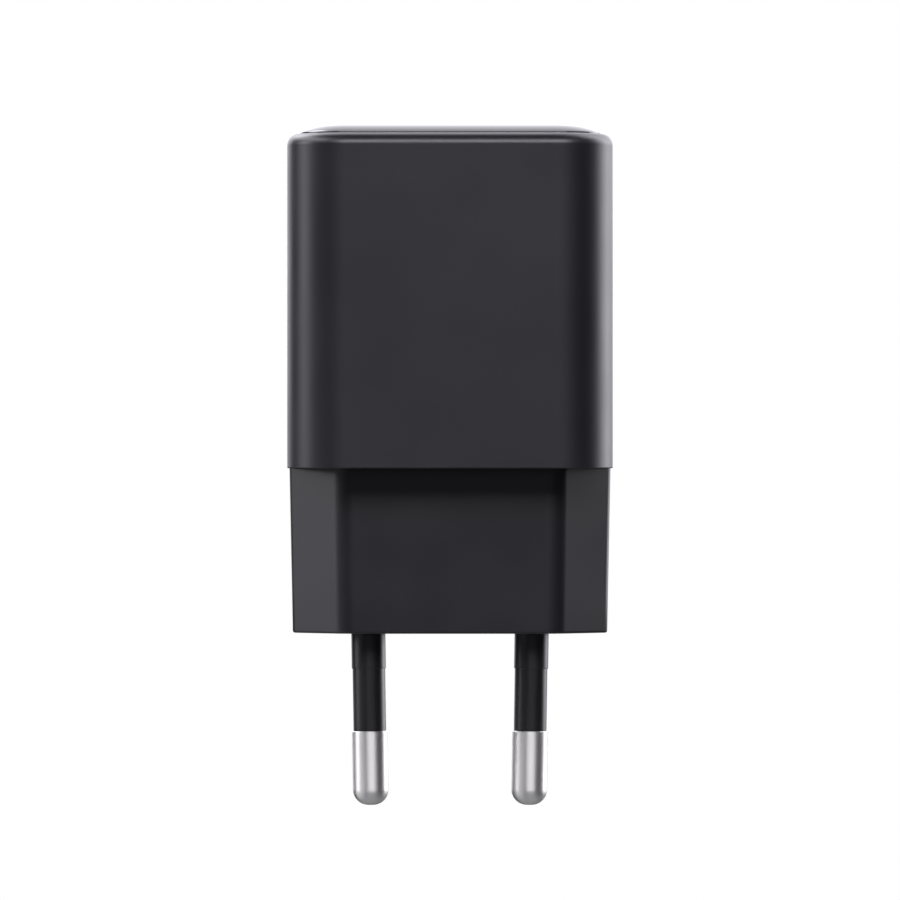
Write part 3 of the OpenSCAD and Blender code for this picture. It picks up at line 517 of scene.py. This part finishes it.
for side, node in ((-1, "pin_left"), (1, "pin_right")):
    profile = [(0, -pin_reach)]
    profile += arc(pin_r - pin_tip_r, pin_tip_r - pin_reach, pin_tip_r, -90, 0, 16)
    profile += [(pin_r, bare_z - eased), (pin_r - eased, bare_z), (shank_r, bare_z),
                (shank_r, head_low_z), (head_r, head_low_z), (head_r, head_high_z),
                (stud_r, head_high_z), (stud_r, floor_t + stud_l), (0, floor_t + stud_l)]
    pin = make_piece(node + "_visual", turned(bmesh.new(), profile, side), nickel)
    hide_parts(node)
    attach(pin, "root")

# ------------------------------------------------------------
# Sleeves: black nylon moulded round each shank, so that a half-inserted plug has no live metal
# in reach. The thicker collar at the root is seated in the floor of the plug base.
sleeve_r = 1.825 * mm

# Nylon 6: satin and slightly waxy, streaked along the pin by the flow of the melt.
nylon, tree = new_material("moulded black nylon")
waxy = between(tree, speckle(tree, 0.4 * mm, (1, 1, 12.5), 2.0), 0.31, 0.36)
shade(tree, {"Base Color": paint("#0c0b10"), "Roughness": waxy, "IOR": 1.53})

bore_r, step_r, seat_gap = shank_r + 0.01 * mm, 0.06 * mm, 0.04 * mm
sleeve_low_z = bare_z + 0.02 * mm
for side, node in ((-1, "sleeve_left"), (1, "sleeve_right")):
    profile = [(bore_r, sleeve_low_z), (sleeve_r, sleeve_low_z), (sleeve_r, -collar_l)]
    profile += arc(collar_r - step_r, step_r - collar_l, step_r, -90, 0, 3)
    profile += [(collar_r, collar_seat - seat_gap), (bore_r, collar_seat - seat_gap)]
    sleeve = make_piece(node + "_visual", turned(bmesh.new(), profile, side), nylon)
    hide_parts(node)
    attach(sleeve, "root")

# ------------------------------------------------------------
# Port frames: each is stamped and folded from nickel-plated sheet steel, with a rounded mouth
# just under the plate's top and tabs soldered through the port board. The rectangular one has
# four spring fingers, cut from its wall and bowed inwards, that grip the plug.
port_steel = 0.3 * mm
finger_w, finger_h, finger_slit = 2.2 * mm, 4.6 * mm, 0.35 * mm
finger_x, finger_below_mouth = 3.2 * mm, 6.6 * mm
# share of the finger's height, and how far it is bowed inwards there
finger_bow = [(0, 0), (0.25, 0.04 * mm), (0.45, 0.2 * mm), (0.6, 0.42 * mm), (0.7, 0.5 * mm),
              (0.78, 0.46 * mm), (0.86, 0.28 * mm), (0.92, 0.1 * mm)]
board_top_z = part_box("port_board")[1].z

# Nickel over cold-rolled steel: bright, with fine streaks along the rolling direction, which
# runs up the frame.
plated_steel, tree = new_material("nickel-plated rolled steel")
rolling, dulled = mottled(tree, 0.06 * mm, 0.2, 0.34, (1, 1, 4 / 0.06))
shade(tree, {"Base Color": paint("#cfcecb"), "Metallic": 1.0, "Roughness": dulled,
             "Normal": bumpy(tree, rolling, 0.3, 0.002 * mm)})


def strip(points, half_w, t, x=0.0):
    """A bent metal strip: its points give one face's place along Y and its height."""
    return loft(bmesh.new(), [[Vector((x + sx * half_w, y + dy, z)) for sx, dy in
                               ((-1, 0), (1, 0), (1, t), (-1, t))] for y, z in points])


def port_shell(low, high, r, tab_w):
    """Thin tube with a rounded mouth, and the two solder tabs under it."""
    centre = ((low.x + high.x) / 2, (low.y + high.y) / 2)
    half_w, half_d = (high.x - low.x) / 2, (high.y - low.y) / 2
    lip_r = port_steel / 2
    wall = [(0, board_top_z)]
    wall += [(lip_r - x, high.z - lip_r + z) for x, z in arc(0, 0, lip_r, 0, 180, 6)]
    wall += [(port_steel, board_top_z)]
    shell = loft(bmesh.new(), [rounded_ring(half_w - i, half_d - i, r - i, z, 10, centre)
                               for i, z in wall], ring_closed=True)
    tabs = bmesh.new()
    for edge in (low.x, high.x - port_steel):
        add_block(tabs, (edge, centre[1] - tab_w / 2, low.z),
                  (edge + port_steel, centre[1] + tab_w / 2, board_top_z))
    return shell, tabs


finger_low = port_a_high.z - finger_below_mouth
windows = bmesh.new()
fingers = []
for x in (-finger_x, finger_x):
    for side, face in ((-1, port_a_low.y), (1, port_a_high.y)):
        add_block(windows, (x - finger_w / 2 - finger_slit, face - 0.5 * mm, finger_low),
                  (x + finger_w / 2 + finger_slit, face + 0.5 * mm, finger_low + finger_h))
        bow = [(face - side * inward, finger_low + share * finger_h)
               for share, inward in finger_bow]
        fingers.append(strip(bow, finger_w / 2, -side * port_steel * 0.9, x))
shell, tabs = port_shell(port_a_low, port_a_high, 0.5 * mm, 1.6 * mm)
shell = join(cut(shell, [windows]), fingers + [tabs])
usb_a_frame = make_piece("usb_a_frame_visual", shell, plated_steel)
shell, tabs = port_shell(port_c_low, port_c_high, (port_c_high.y - port_c_low.y) / 2 - 0.01 * mm,
                         1.2 * mm)
usb_c_frame = make_piece("usb_c_frame_visual", join(shell, [tabs]), plated_steel)
for piece, node in ((usb_a_frame, "usb_a_frame"), (usb_c_frame, "usb_c_frame")):
    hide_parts(node)
    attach(piece, "root")

# ------------------------------------------------------------
# Port tongues: moulded in black heat-proof resin together with the base that fills the bottom
# of each frame. The tip is chamfered to lead the plug in. Each contact of the rectangular port has
# its own groove, and the oval port's contacts pass through one slot in the base on each face.
tongue_clear = 0.03 * mm
strip_t, strip_proud = 0.2 * mm, 0.05 * mm
a_pitch, a_strip_w, a_base_h, a_tongue_w, a_tongue_t = (
    2.3 * mm, 1.0 * mm, 2.4 * mm, 11.1 * mm, 1.84 * mm)
c_pitch, c_strip_w, c_base_h, c_tongue_w, c_tongue_t = (
    0.5 * mm, 0.25 * mm, 2.6 * mm, 6.69 * mm, 0.68 * mm)
a_tongue_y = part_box("usb_a_contacts")[0].y + strip_proud + a_tongue_t / 2
c_tongue_y = (port_c_low.y + port_c_high.y) / 2


def blend(tree, factor, first, second):
    """Two colours mixed by a factor."""
    return add(tree, "ShaderNodeMix", {
        "Factor": factor, "A": paint(first), "B": paint(second)},
        data_type="RGBA").outputs["Result"]


# Glass-filled liquid-crystal polymer: dull black with a faint flow pattern drawn out upwards.
black_resin, tree = new_material("glass-filled black resin")
flow, fibres = mottled(tree, 0.15 * mm, 0.42, 0.56, (1, 1, 6))
shade(tree, {"Base Color": blend(tree, flow, "#131315", "#1d1d20"), "Roughness": fibres,
             "IOR": 1.6})


def port_tongue(frame_low, frame_high, r, base_h, tongue_y, w, t, top_z, tip):
    """Base and chamfered tongue as one shell."""
    centre = ((frame_low.x + frame_high.x) / 2, (frame_low.y + frame_high.y) / 2)
    inside = port_steel + tongue_clear
    half_w = (frame_high.x - frame_low.x) / 2 - inside
    half_d = (frame_high.y - frame_low.y) / 2 - inside
    base = loft(bmesh.new(), [rounded_ring(half_w, half_d, r, z, 10, centre)
                              for z in (board_top_z, board_top_z + base_h)])
    blade = loft(bmesh.new(), [
        rounded_ring(w / 2 - i, t / 2 - i, 0.08 * mm, z, 4, (centre[0], tongue_y))
        for i, z in ((0, board_top_z + base_h / 2), (0, top_z - 2 * tip), (tip, top_z))])
    return cut(base, [blade], "UNION")


grooves = bmesh.new()
for i in range(4):
    x = (i - 1.5) * a_pitch
    add_block(grooves, (x - a_strip_w / 2 - 0.05 * mm, a_tongue_y - a_tongue_t / 2 - strip_t,
                        board_top_z - 1 * mm),
              (x + a_strip_w / 2 + 0.05 * mm, a_tongue_y - a_tongue_t / 2 + strip_t - strip_proud,
               port_a_high.z - 1.6 * mm))
slots = bmesh.new()
for side in (-1, 1):
    near = c_tongue_y + side * (c_tongue_t / 2 + 0.01 * mm)
    far = near + side * (strip_t + 0.02 * mm)
    add_block(slots, (-6 * c_pitch, min(near, far), board_top_z - 1 * mm),
              (6 * c_pitch, max(near, far), board_top_z + c_base_h + 1 * mm))
a_resin = cut(port_tongue(port_a_low, port_a_high, 0.2 * mm, a_base_h, a_tongue_y, a_tongue_w,
                          a_tongue_t, port_a_high.z - 1 * mm, 0.3 * mm), [grooves])
c_resin = cut(port_tongue(port_c_low, port_c_high, 1.23 * mm, c_base_h, c_tongue_y, c_tongue_w,
                          c_tongue_t, port_c_high.z - 0.6 * mm, 0.12 * mm), [slots])
for resin, node in ((a_resin, "usb_a_tongue"), (c_resin, "usb_c_tongue")):
    piece = make_piece(node + "_visual", resin, black_resin)
    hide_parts(node)
    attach(piece, "root")

# ------------------------------------------------------------
# Port contacts: strips of spring bronze with a flash of gold, laid in the grooves of the
# tongues. The oval port has twelve on each face, every third one longer so that power and
# ground touch first. One strip is drawn and set out in a row.

# Gold flash over nickel: a clear warm yellow, nearly mirror bright, rubbed duller in patches.
gold, tree = new_material("gold flash over nickel")
worn = between(tree, speckle(tree, 0.5 * mm, detail=2.0), 0.16, 0.3, 0.35, 0.65)
shade(tree, {"Base Color": paint("#e5c173"), "Metallic": 1.0, "Roughness": worn})

row = bpy.data.node_groups.new("strips in a row", "GeometryNodeTree")
for label, kind in (("Strip", "Geometry"), ("Count", "Int"), ("Pitch", "Float"),
                    ("Long One Every", "Int"), ("Extra Length", "Float"), ("Material", "Material")):
    row.interface.new_socket(label, in_out="INPUT", socket_type="NodeSocket" + kind)
row.interface.new_socket("Row", in_out="OUTPUT", socket_type="NodeSocketGeometry")
given = add(row, "NodeGroupInput").outputs
gaps = add(row, "ShaderNodeMath", {0: given["Count"], 1: 1.0}, operation="SUBTRACT")
span = add(row, "ShaderNodeMath", {0: gaps.outputs[0], 1: given["Pitch"]}, operation="MULTIPLY")
first = add(row, "ShaderNodeMath", {0: span.outputs[0], 1: -0.5}, operation="MULTIPLY")
line = add(row, "GeometryNodeMeshLine", {
    "Count": given["Count"],
    "Start Location": add(row, "ShaderNodeCombineXYZ", {"X": first.outputs[0]}).outputs[0],
    "Offset": add(row, "ShaderNodeCombineXYZ", {"X": given["Pitch"]}).outputs[0]}, mode="OFFSET")
set_out = add(row, "GeometryNodeInstanceOnPoints", {
    "Points": line.outputs["Mesh"], "Instance": given["Strip"]})
turn = add(row, "ShaderNodeMath", {
    0: add(row, "GeometryNodeInputIndex").outputs["Index"], 1: given["Long One Every"]},
    operation="MODULO")
is_long = add(row, "ShaderNodeMath", {0: turn.outputs[0], 1: 0.0, 2: 0.5}, operation="COMPARE")
lift = add(row, "ShaderNodeMath", {0: is_long.outputs[0], 1: given["Extra Length"]},
           operation="MULTIPLY")
lifted = add(row, "GeometryNodeTranslateInstances", {
    "Instances": set_out.outputs["Instances"],
    "Translation": add(row, "ShaderNodeCombineXYZ", {"Z": lift.outputs[0]}).outputs[0]})
solid = add(row, "GeometryNodeRealizeInstances", {"Geometry": lifted.outputs["Instances"]})
coloured = add(row, "GeometryNodeSetMaterial", {
    "Geometry": solid.outputs["Geometry"], "Material": given["Material"]})
add(row, "NodeGroupOutput", {"Row": coloured.outputs["Geometry"]})


def strip_mesh(points, half_w, t):
    mesh = bpy.data.meshes.new("one strip")
    drawn = strip(points, half_w, t)
    drawn.to_mesh(mesh)
    drawn.free()
    return mesh


face_y = a_tongue_y - a_tongue_t / 2 - strip_proud
tip_z = port_a_high.z - 2.2 * mm
a_line = [(face_y, board_top_z), (face_y, tip_z - 1.6 * mm), (face_y + 0.01 * mm, tip_z - 0.8 * mm),
          (face_y + 0.05 * mm, tip_z - 0.3 * mm), (face_y + 0.12 * mm, tip_z)]
a_row = grow(row, strip_mesh(a_line, a_strip_w / 2, strip_t), {
    "Count": 4, "Pitch": a_pitch, "Long One Every": 3, "Extra Length": 0.0, "Material": gold})
lead_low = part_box("usb_a_contacts")[0].z
a_leads = grow(row, strip_mesh([(face_y, lead_low), (face_y, board_top_z)], 0.3 * mm, strip_t), {
    "Count": 4, "Pitch": a_pitch, "Long One Every": 3, "Extra Length": 0.0, "Material": gold})
usb_a_contacts = make_piece("usb_a_contacts_visual", join(a_row, [a_leads]), gold)

out_y = c_tongue_t / 2 + 0.01 * mm
tip_z = port_c_high.z - 1.8 * mm
c_line = [(out_y, board_top_z), (out_y, tip_z - 0.5 * mm), (out_y, tip_z - 0.2 * mm),
          (out_y - 0.005 * mm, tip_z)]
c_rows = []
for half_turn in (0, math.pi):
    c_row = grow(row, strip_mesh(c_line, c_strip_w / 2, strip_t * 0.9), {
        "Count": 12, "Pitch": c_pitch, "Long One Every": 3, "Extra Length": 0.4 * mm,
        "Material": gold})
    bmesh.ops.transform(c_row, verts=c_row.verts, matrix=Matrix.Translation((0, c_tongue_y, 0))
                        @ Matrix.Rotation(half_turn, 4, "Z"))
    c_rows.append(c_row)
usb_c_contacts = make_piece("usb_c_contacts_visual", join(c_rows[0], c_rows[1:]), gold)
for piece, node in ((usb_a_contacts, "usb_a_contacts"), (usb_c_contacts, "usb_c_contacts")):
    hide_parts(node)
    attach(piece, "root")

# ------------------------------------------------------------
# Boards: FR-4 laminate, routed to shape and clamped upright in the tub's ribs. The tool-made
# solids are used as they are from here on, since nothing inside shows once the tub is closed.


def coat(material, tree, values, *names):
    """Closes a material with its surface and gives it to the named solids."""
    shade(tree, values)
    for name in names:
        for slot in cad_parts[name].material_slots:
            slot.material = material


# Solder mask over glass weave: a deep glossy green that shows the weave as a fine check.
weave_pitch = 0.45 * mm
laminate, tree = new_material("green FR-4 laminate")
cloud, gloss = mottled(tree, 2 * mm, 0.25, 0.4)
weave = add(tree, "ShaderNodeTexChecker", {
    "Vector": add(tree, "ShaderNodeTexCoord").outputs["Object"], "Scale": 1 / weave_pitch,
    "Color1": paint("#1f5230"), "Color2": paint("#256138")}).outputs["Color"]
mask = add(tree, "ShaderNodeMix", {
    "Factor": cloud, "A": weave, "B": paint("#1d4c2c")}, data_type="RGBA").outputs["Result"]
coat(laminate, tree, {"Base Color": mask, "Roughness": gloss, "IOR": 1.55},
     "main_board", "port_board")

# ------------------------------------------------------------
# Pin retainer: the bar that locks both pins in the plug base, moulded in unfilled nylon and
# pressed down over the pins' upper ends.

# Natural nylon: milky off-white, letting a little light in, with cloudy flow marks.
natural_nylon, tree = new_material("natural nylon")
cloud, gloss = mottled(tree, 3 * mm, 0.4, 0.52)
coat(natural_nylon, tree, {
    "Base Color": blend(tree, cloud, "#e6e1d2", "#d9d3c0"), "Roughness": gloss, "IOR": 1.53,
    "Subsurface Weight": 0.2, "Subsurface Radius": (1 * mm, 0.8 * mm, 0.5 * mm),
    "Subsurface Scale": 1.0}, "pin_retainer")

# ------------------------------------------------------------
# Contact springs: blades stamped from phosphor bronze, soldered to the main board, that press
# on the upper ends of the pins when the plug base snaps in.

# Phosphor bronze: a pinkish brown metal, rolled lengthwise, with tarnished clouds.
bronze, tree = new_material("rolled phosphor bronze")
streaks, gloss = mottled(tree, 0.08 * mm, 0.24, 0.4, (1, 1, 30))
coat(bronze, tree, {
    "Base Color": blend(tree, streaks, "#c79a5c", "#a97e4c"), "Metallic": 1.0,
    "Roughness": gloss}, "contact_spring_left", "contact_spring_right")

# ------------------------------------------------------------
# Fuse, surge disc and safety capacitor: through-hole parts at the mains end. The fuse is a
# moulded block; the two discs are dipped in lacquer and cured, so their skin is uneven.

# Moulded phenolic: brown and dull, speckled by its wood-flour filler.
phenolic, tree = new_material("moulded brown phenolic")
specks, gloss = mottled(tree, 0.12 * mm, 0.45, 0.6)
coat(phenolic, tree, {
    "Base Color": blend(tree, specks, "#6e4d31", "#553a24"), "Roughness": gloss, "IOR": 1.6},
    "fuse")

# Dipped epoxy lacquer: glossy blue with an orange-peel skin and paler thin spots.
for title, thick, thin, name in (("blue disc lacquer", "#1e5ca6", "#2a6fbc", "varistor"),
                                 ("pale blue disc lacquer", "#2c70b6", "#3d82c4", "y_capacitor")):
    lacquer, tree = new_material(title)
    cloud, gloss = mottled(tree, 1.2 * mm, 0.16, 0.3)
    skin = bumpy(tree, cloud, 0.4, 0.03 * mm)
    coat(lacquer, tree, {
        "Base Color": blend(tree, cloud, thick, thin), "Roughness": gloss, "IOR": 1.55,
        "Normal": skin}, name)

# ------------------------------------------------------------
# Ferrite parts: the filter inductor's drum and the cores of the choke and the transformer,
# pressed from powder, fired and ground flat where the halves meet.

# Manganese-zinc ferrite: dark grey and matt, with fine sparkling grains and pores.
ferrite, tree = new_material("fired ferrite")
grains, gloss = mottled(tree, 0.05 * mm, 0.5, 0.72)
pores = bumpy(tree, grains, 0.5, 0.006 * mm)
coat(ferrite, tree, {
    "Base Color": blend(tree, grains, "#232327", "#35353a"), "Roughness": gloss, "IOR": 1.9,
    "Normal": pores}, "filter_inductor", "choke_core", "transformer_core")

# ------------------------------------------------------------
# Choke windings: enamelled copper wire laid side by side round the choke's core. The solid
# carries the whole winding; the turns are drawn in its surface.

# Enamelled copper: reddish brown under clear varnish, ribbed once for every turn of wire.
wire_d = 0.3 * mm
enamel, tree = new_material("enamelled copper wire")
cloud, gloss = mottled(tree, 0.6 * mm, 0.2, 0.32)
turns = add(tree, "ShaderNodeTexWave", {
    "Vector": add(tree, "ShaderNodeTexCoord").outputs["Object"], "Scale": 1 / (3.2 * wire_d),
    "Distortion": 0.4}, bands_direction="Z").outputs["Fac"]
ribs = bumpy(tree, turns, 0.8, 0.1 * mm)
coat(enamel, tree, {
    "Base Color": blend(tree, cloud, "#b9622f", "#9c4d24"), "Metallic": 1.0, "Roughness": gloss,
    "Coat Weight": 0.6, "Coat Roughness": 0.12, "Normal": ribs}, "choke_windings")

# ------------------------------------------------------------
# Chips: bridge, controllers, synchronous rectifier, load switch and optocoupler, all transfer
# moulded and soldered flat to the boards.

# Moulding compound: dark grey, dull, filled with fused silica that shows as fine specks.
compound, tree = new_material("silica-filled moulding compound")
specks, gloss = mottled(tree, 0.06 * mm, 0.5, 0.66)
coat(compound, tree, {
    "Base Color": blend(tree, specks, "#121214", "#202024"), "Roughness": gloss, "IOR": 1.55},
    "bridge_rectifier", "primary_controller", "sync_rectifier", "optocoupler", "port_controller",
    "load_switch")

# ------------------------------------------------------------
# Film capacitor: a moulded box filled with resin, standing across the mains behind the fuse.
# The tool-made solid already has its shape, so only the material is added.

# Filled polyester box: strong yellow, satin, with a little uneven gloss from the mould.
yellow_box, tree = new_material("moulded yellow polyester")
cloud, gloss = mottled(tree, 1.5 * mm, 0.32, 0.45)
coat(yellow_box, tree, {
    "Base Color": blend(tree, cloud, "#d9ae30", "#cf9f26"), "Roughness": gloss, "IOR": 1.54},
    "x_capacitor")

# ------------------------------------------------------------
# Electrolytic cans: the two tall reservoir capacitors lie in shrunk dark film over aluminium;
# the output capacitors are bare drawn cans, crimped onto a moulded seat.

# Shrunk vinyl film: dark blue-grey and glossy, faintly rippled where it was drawn tight.
shrunk_film, tree = new_material("shrunk vinyl sleeve")
ripple, gloss = mottled(tree, 0.7 * mm, 0.18, 0.3, (1, 1, 0.25))
drawn = bumpy(tree, ripple, 0.3, 0.02 * mm)
coat(shrunk_film, tree, {
    "Base Color": blend(tree, ripple, "#1d232c", "#272e39"), "Roughness": gloss, "IOR": 1.54,
    "Normal": drawn}, "bulk_capacitor_front", "bulk_capacitor_rear")

# Drawn aluminium: pale grey metal with fine lines along the direction of the draw.
drawn_can, tree = new_material("drawn aluminium can")
lines, gloss = mottled(tree, 0.04 * mm, 0.28, 0.42, (1, 1, 60))
coat(drawn_can, tree, {
    "Base Color": blend(tree, lines, "#d6d7d9", "#c3c4c7"), "Metallic": 1.0,
    "Roughness": gloss}, "output_capacitors")

# ------------------------------------------------------------
# Transformer: a moulded bobbin between the two core halves, with the windings closed by turns
# of polyester tape.

# Phenolic bobbin: near black, dull, with short pale fibres.
bobbin_resin, tree = new_material("glass-filled phenolic")
fibres, gloss = mottled(tree, 0.15 * mm, 0.46, 0.62, (1, 4, 1))
coat(bobbin_resin, tree, {
    "Base Color": blend(tree, fibres, "#302b26", "#403a33"), "Roughness": gloss, "IOR": 1.6},
    "transformer_bobbin")

# Polyester tape: clear glossy yellow, darker where the layers overlap, slightly wrinkled.
tape_w = 1.6 * mm
tape, tree = new_material("yellow polyester tape")
cloud, gloss = mottled(tree, 0.9 * mm, 0.14, 0.26)
laps = add(tree, "ShaderNodeTexWave", {
    "Vector": add(tree, "ShaderNodeTexCoord").outputs["Object"], "Scale": 1 / (6.3 * tape_w),
    "Distortion": 1.5}, bands_direction="Z").outputs["Fac"]
wrinkles = bumpy(tree, cloud, 0.35, 0.03 * mm)
coat(tape, tree, {
    "Base Color": blend(tree, laps, "#dcaa22", "#c8931a"), "Roughness": gloss, "IOR": 1.6,
    "Normal": wrinkles}, "transformer_windings")

# ------------------------------------------------------------
# Small surface-mounted parts: chip resistors and capacitors, fired in rows and snapped apart.
# The tool-made solid carries the whole group, so only the material is added.

# Fired barium titanate: tan, fairly smooth, with a fine grain.
ceramic, tree = new_material("fired tan ceramic")
grains, gloss = mottled(tree, 0.08 * mm, 0.35, 0.5)
coat(ceramic, tree, {
    "Base Color": blend(tree, grains, "#8f7c62", "#7c6a52"), "Roughness": gloss, "IOR": 1.7},
    "small_parts")

# ------------------------------------------------------------
# Insulation, heat spreader and gap pad: a creased film round the board, a bent aluminium sheet
# inside the tub's wall, and the soft pad that carries heat to it.

# Polyester sheet: milky and glossy, with slight waves from being folded.
sheet, tree = new_material("milky polyester sheet")
wave, gloss = mottled(tree, 2.5 * mm, 0.2, 0.34)
creases = bumpy(tree, wave, 0.3, 0.05 * mm)
coat(sheet, tree, {
    "Base Color": blend(tree, wave, "#dfd7c2", "#e8e1cf"), "Roughness": gloss, "IOR": 1.6,
    "Normal": creases}, "insulation_sheet")

# Rolled aluminium: pale metal with straight rolling lines along its height.
rolled, tree = new_material("rolled aluminium sheet")
lines, gloss = mottled(tree, 0.05 * mm, 0.26, 0.42, (1, 1, 80))
coat(rolled, tree, {
    "Base Color": blend(tree, lines, "#d3d4d6", "#c4c5c8"), "Metallic": 1.0,
    "Roughness": gloss}, "heat_spreader")

# Silicone filled with alumina: grey-blue, dead matt and slightly dimpled.
gap_filler, tree = new_material("alumina-filled silicone")
dimples, gloss = mottled(tree, 0.3 * mm, 0.7, 0.85)
soft = bumpy(tree, dimples, 0.4, 0.02 * mm)
coat(gap_filler, tree, {
    "Base Color": blend(tree, dimples, "#8c9aa7", "#7c8a98"), "Roughness": gloss, "IOR": 1.42,
    "Normal": soft}, "thermal_pad")

# ------------------------------------------------------------
# Studio: a white background, a white floor that can be seen through from below, and soft panels
# that only the object sees: a strip over the camera, boxes at the left and behind at the right,
# and light from behind and above. The camera stands far off, level with the tub's lower part.
camera_back, camera_height, lens_length = 0.97, 0.0204, 347.24
floor_half = 4.0
floor_drop = 0.2 * mm
under_light = 0.45
# bearing and height in degrees, as seen from the object, with the camera at 0 and its right
# hand positive, then half the width and height, softness of the edge and brightness
panels = [
    (8, 29, 26, 9, 3, 11.3),
    (-90, 12, 13, 8, 3, 8.3),
    (118, 28, 19, 32, 2, 4.1),
    (166, 37, 57, 37, 4, 2.7),
    (-100, 40, 60, 12, 4, 5.5),
    (-78, -22, 34, 13, 5, 1),
    (4, 6, 24, 4, 3, 0.4),
    (0, -14, 60, 12, 10, 0.15)]

plane = bpy.data.meshes.new("floor")
plane.from_pydata([(x * floor_half, y * floor_half, 0) for x, y in
                   ((-1, -1), (1, -1), (1, 1), (-1, 1))], [], [(0, 1, 2, 3)])
floor = bpy.data.objects.new("floor", plane)
floor.location.z = cad_box[0][2] - floor_drop
bpy.context.scene.collection.objects.link(floor)
floor.visible_diffuse = floor.visible_glossy = floor.visible_shadow = False
white, tree = new_material("white paper sweep")
above = add(tree, "ShaderNodeEmission", {"Color": paint("#ffffff"), "Strength": 1.0})
below = add(tree, "ShaderNodeBsdfTransparent")
surface = add(tree, "ShaderNodeMixShader", {
    0: add(tree, "ShaderNodeNewGeometry").outputs["Backfacing"], 1: above.outputs[0],
    2: below.outputs[0]})
add(tree, "ShaderNodeOutputMaterial", {"Surface": surface.outputs[0]})
plane.materials.append(white)

world = bpy.data.worlds.new("studio")
bpy.context.scene.world = world
world.use_nodes = True
sky = world.node_tree
sky.nodes.clear()
ray = add(sky, "ShaderNodeSeparateXYZ", {
    "Vector": add(sky, "ShaderNodeTexCoord").outputs["Generated"]}).outputs
to_camera = add(sky, "ShaderNodeMath", {0: ray["Y"], 1: -1.0}, operation="MULTIPLY").outputs[0]
bearing = add(sky, "ShaderNodeMath", {0: ray["X"], 1: to_camera}, operation="ARCTAN2").outputs[0]
bearing = add(sky, "ShaderNodeMath", {0: bearing}, operation="DEGREES").outputs[0]
height = add(sky, "ShaderNodeMath", {0: ray["Z"]}, operation="ARCSINE").outputs[0]
height = add(sky, "ShaderNodeMath", {0: height}, operation="DEGREES").outputs[0]
light = add(sky, "ShaderNodeMapRange", {
    "Value": height, "From Min": -60.0, "From Max": -10.0, "To Min": under_light, "To Max": 0.0},
    interpolation_type="SMOOTHSTEP").outputs[0]
for turn, rise, half_wide, half_high, soft, bright in panels:
    along = add(sky, "ShaderNodeMath", {0: bearing, 1: turn}, operation="SUBTRACT").outputs[0]
    along = add(sky, "ShaderNodeMath", {0: along, 1: 180.0, 2: -180.0}, operation="WRAP").outputs[0]
    up = add(sky, "ShaderNodeMath", {0: height, 1: rise}, operation="SUBTRACT").outputs[0]
    shape = bright
    for off, half in ((along, half_wide), (up, half_high)):
        off = add(sky, "ShaderNodeMath", {0: off}, operation="ABSOLUTE").outputs[0]
        shape = add(sky, "ShaderNodeMapRange", {
            "Value": off, "From Min": half - soft, "From Max": half + soft, "To Min": shape,
            "To Max": 0.0}, interpolation_type="SMOOTHSTEP").outputs[0]
    light = add(sky, "ShaderNodeMath", {0: light, 1: shape}, operation="ADD").outputs[0]
lit = add(sky, "ShaderNodeBackground", {"Color": paint("#f9f8ff"), "Strength": light})
backdrop = add(sky, "ShaderNodeBackground", {"Color": paint("#ffffff"), "Strength": 1.0})
seen = add(sky, "ShaderNodeLightPath").outputs["Is Camera Ray"]
both = add(sky, "ShaderNodeMixShader", {0: seen, 1: lit.outputs[0], 2: backdrop.outputs[0]})
add(sky, "ShaderNodeOutputWorld", {"Surface": both.outputs[0]})

camera = bpy.data.objects.new("camera", bpy.data.cameras.new("camera"))
bpy.context.scene.collection.objects.link(camera)
camera.location = (0, -camera_back, camera_height)
camera.rotation_euler = (math.radians(90), 0, 0)
camera.data.sensor_width = 36
camera.data.lens = lens_length
camera.data.clip_start, camera.data.clip_end = 0.05, 20
bpy.context.scene.camera = camera
bpy.context.scene.view_settings.view_transform = "Standard"
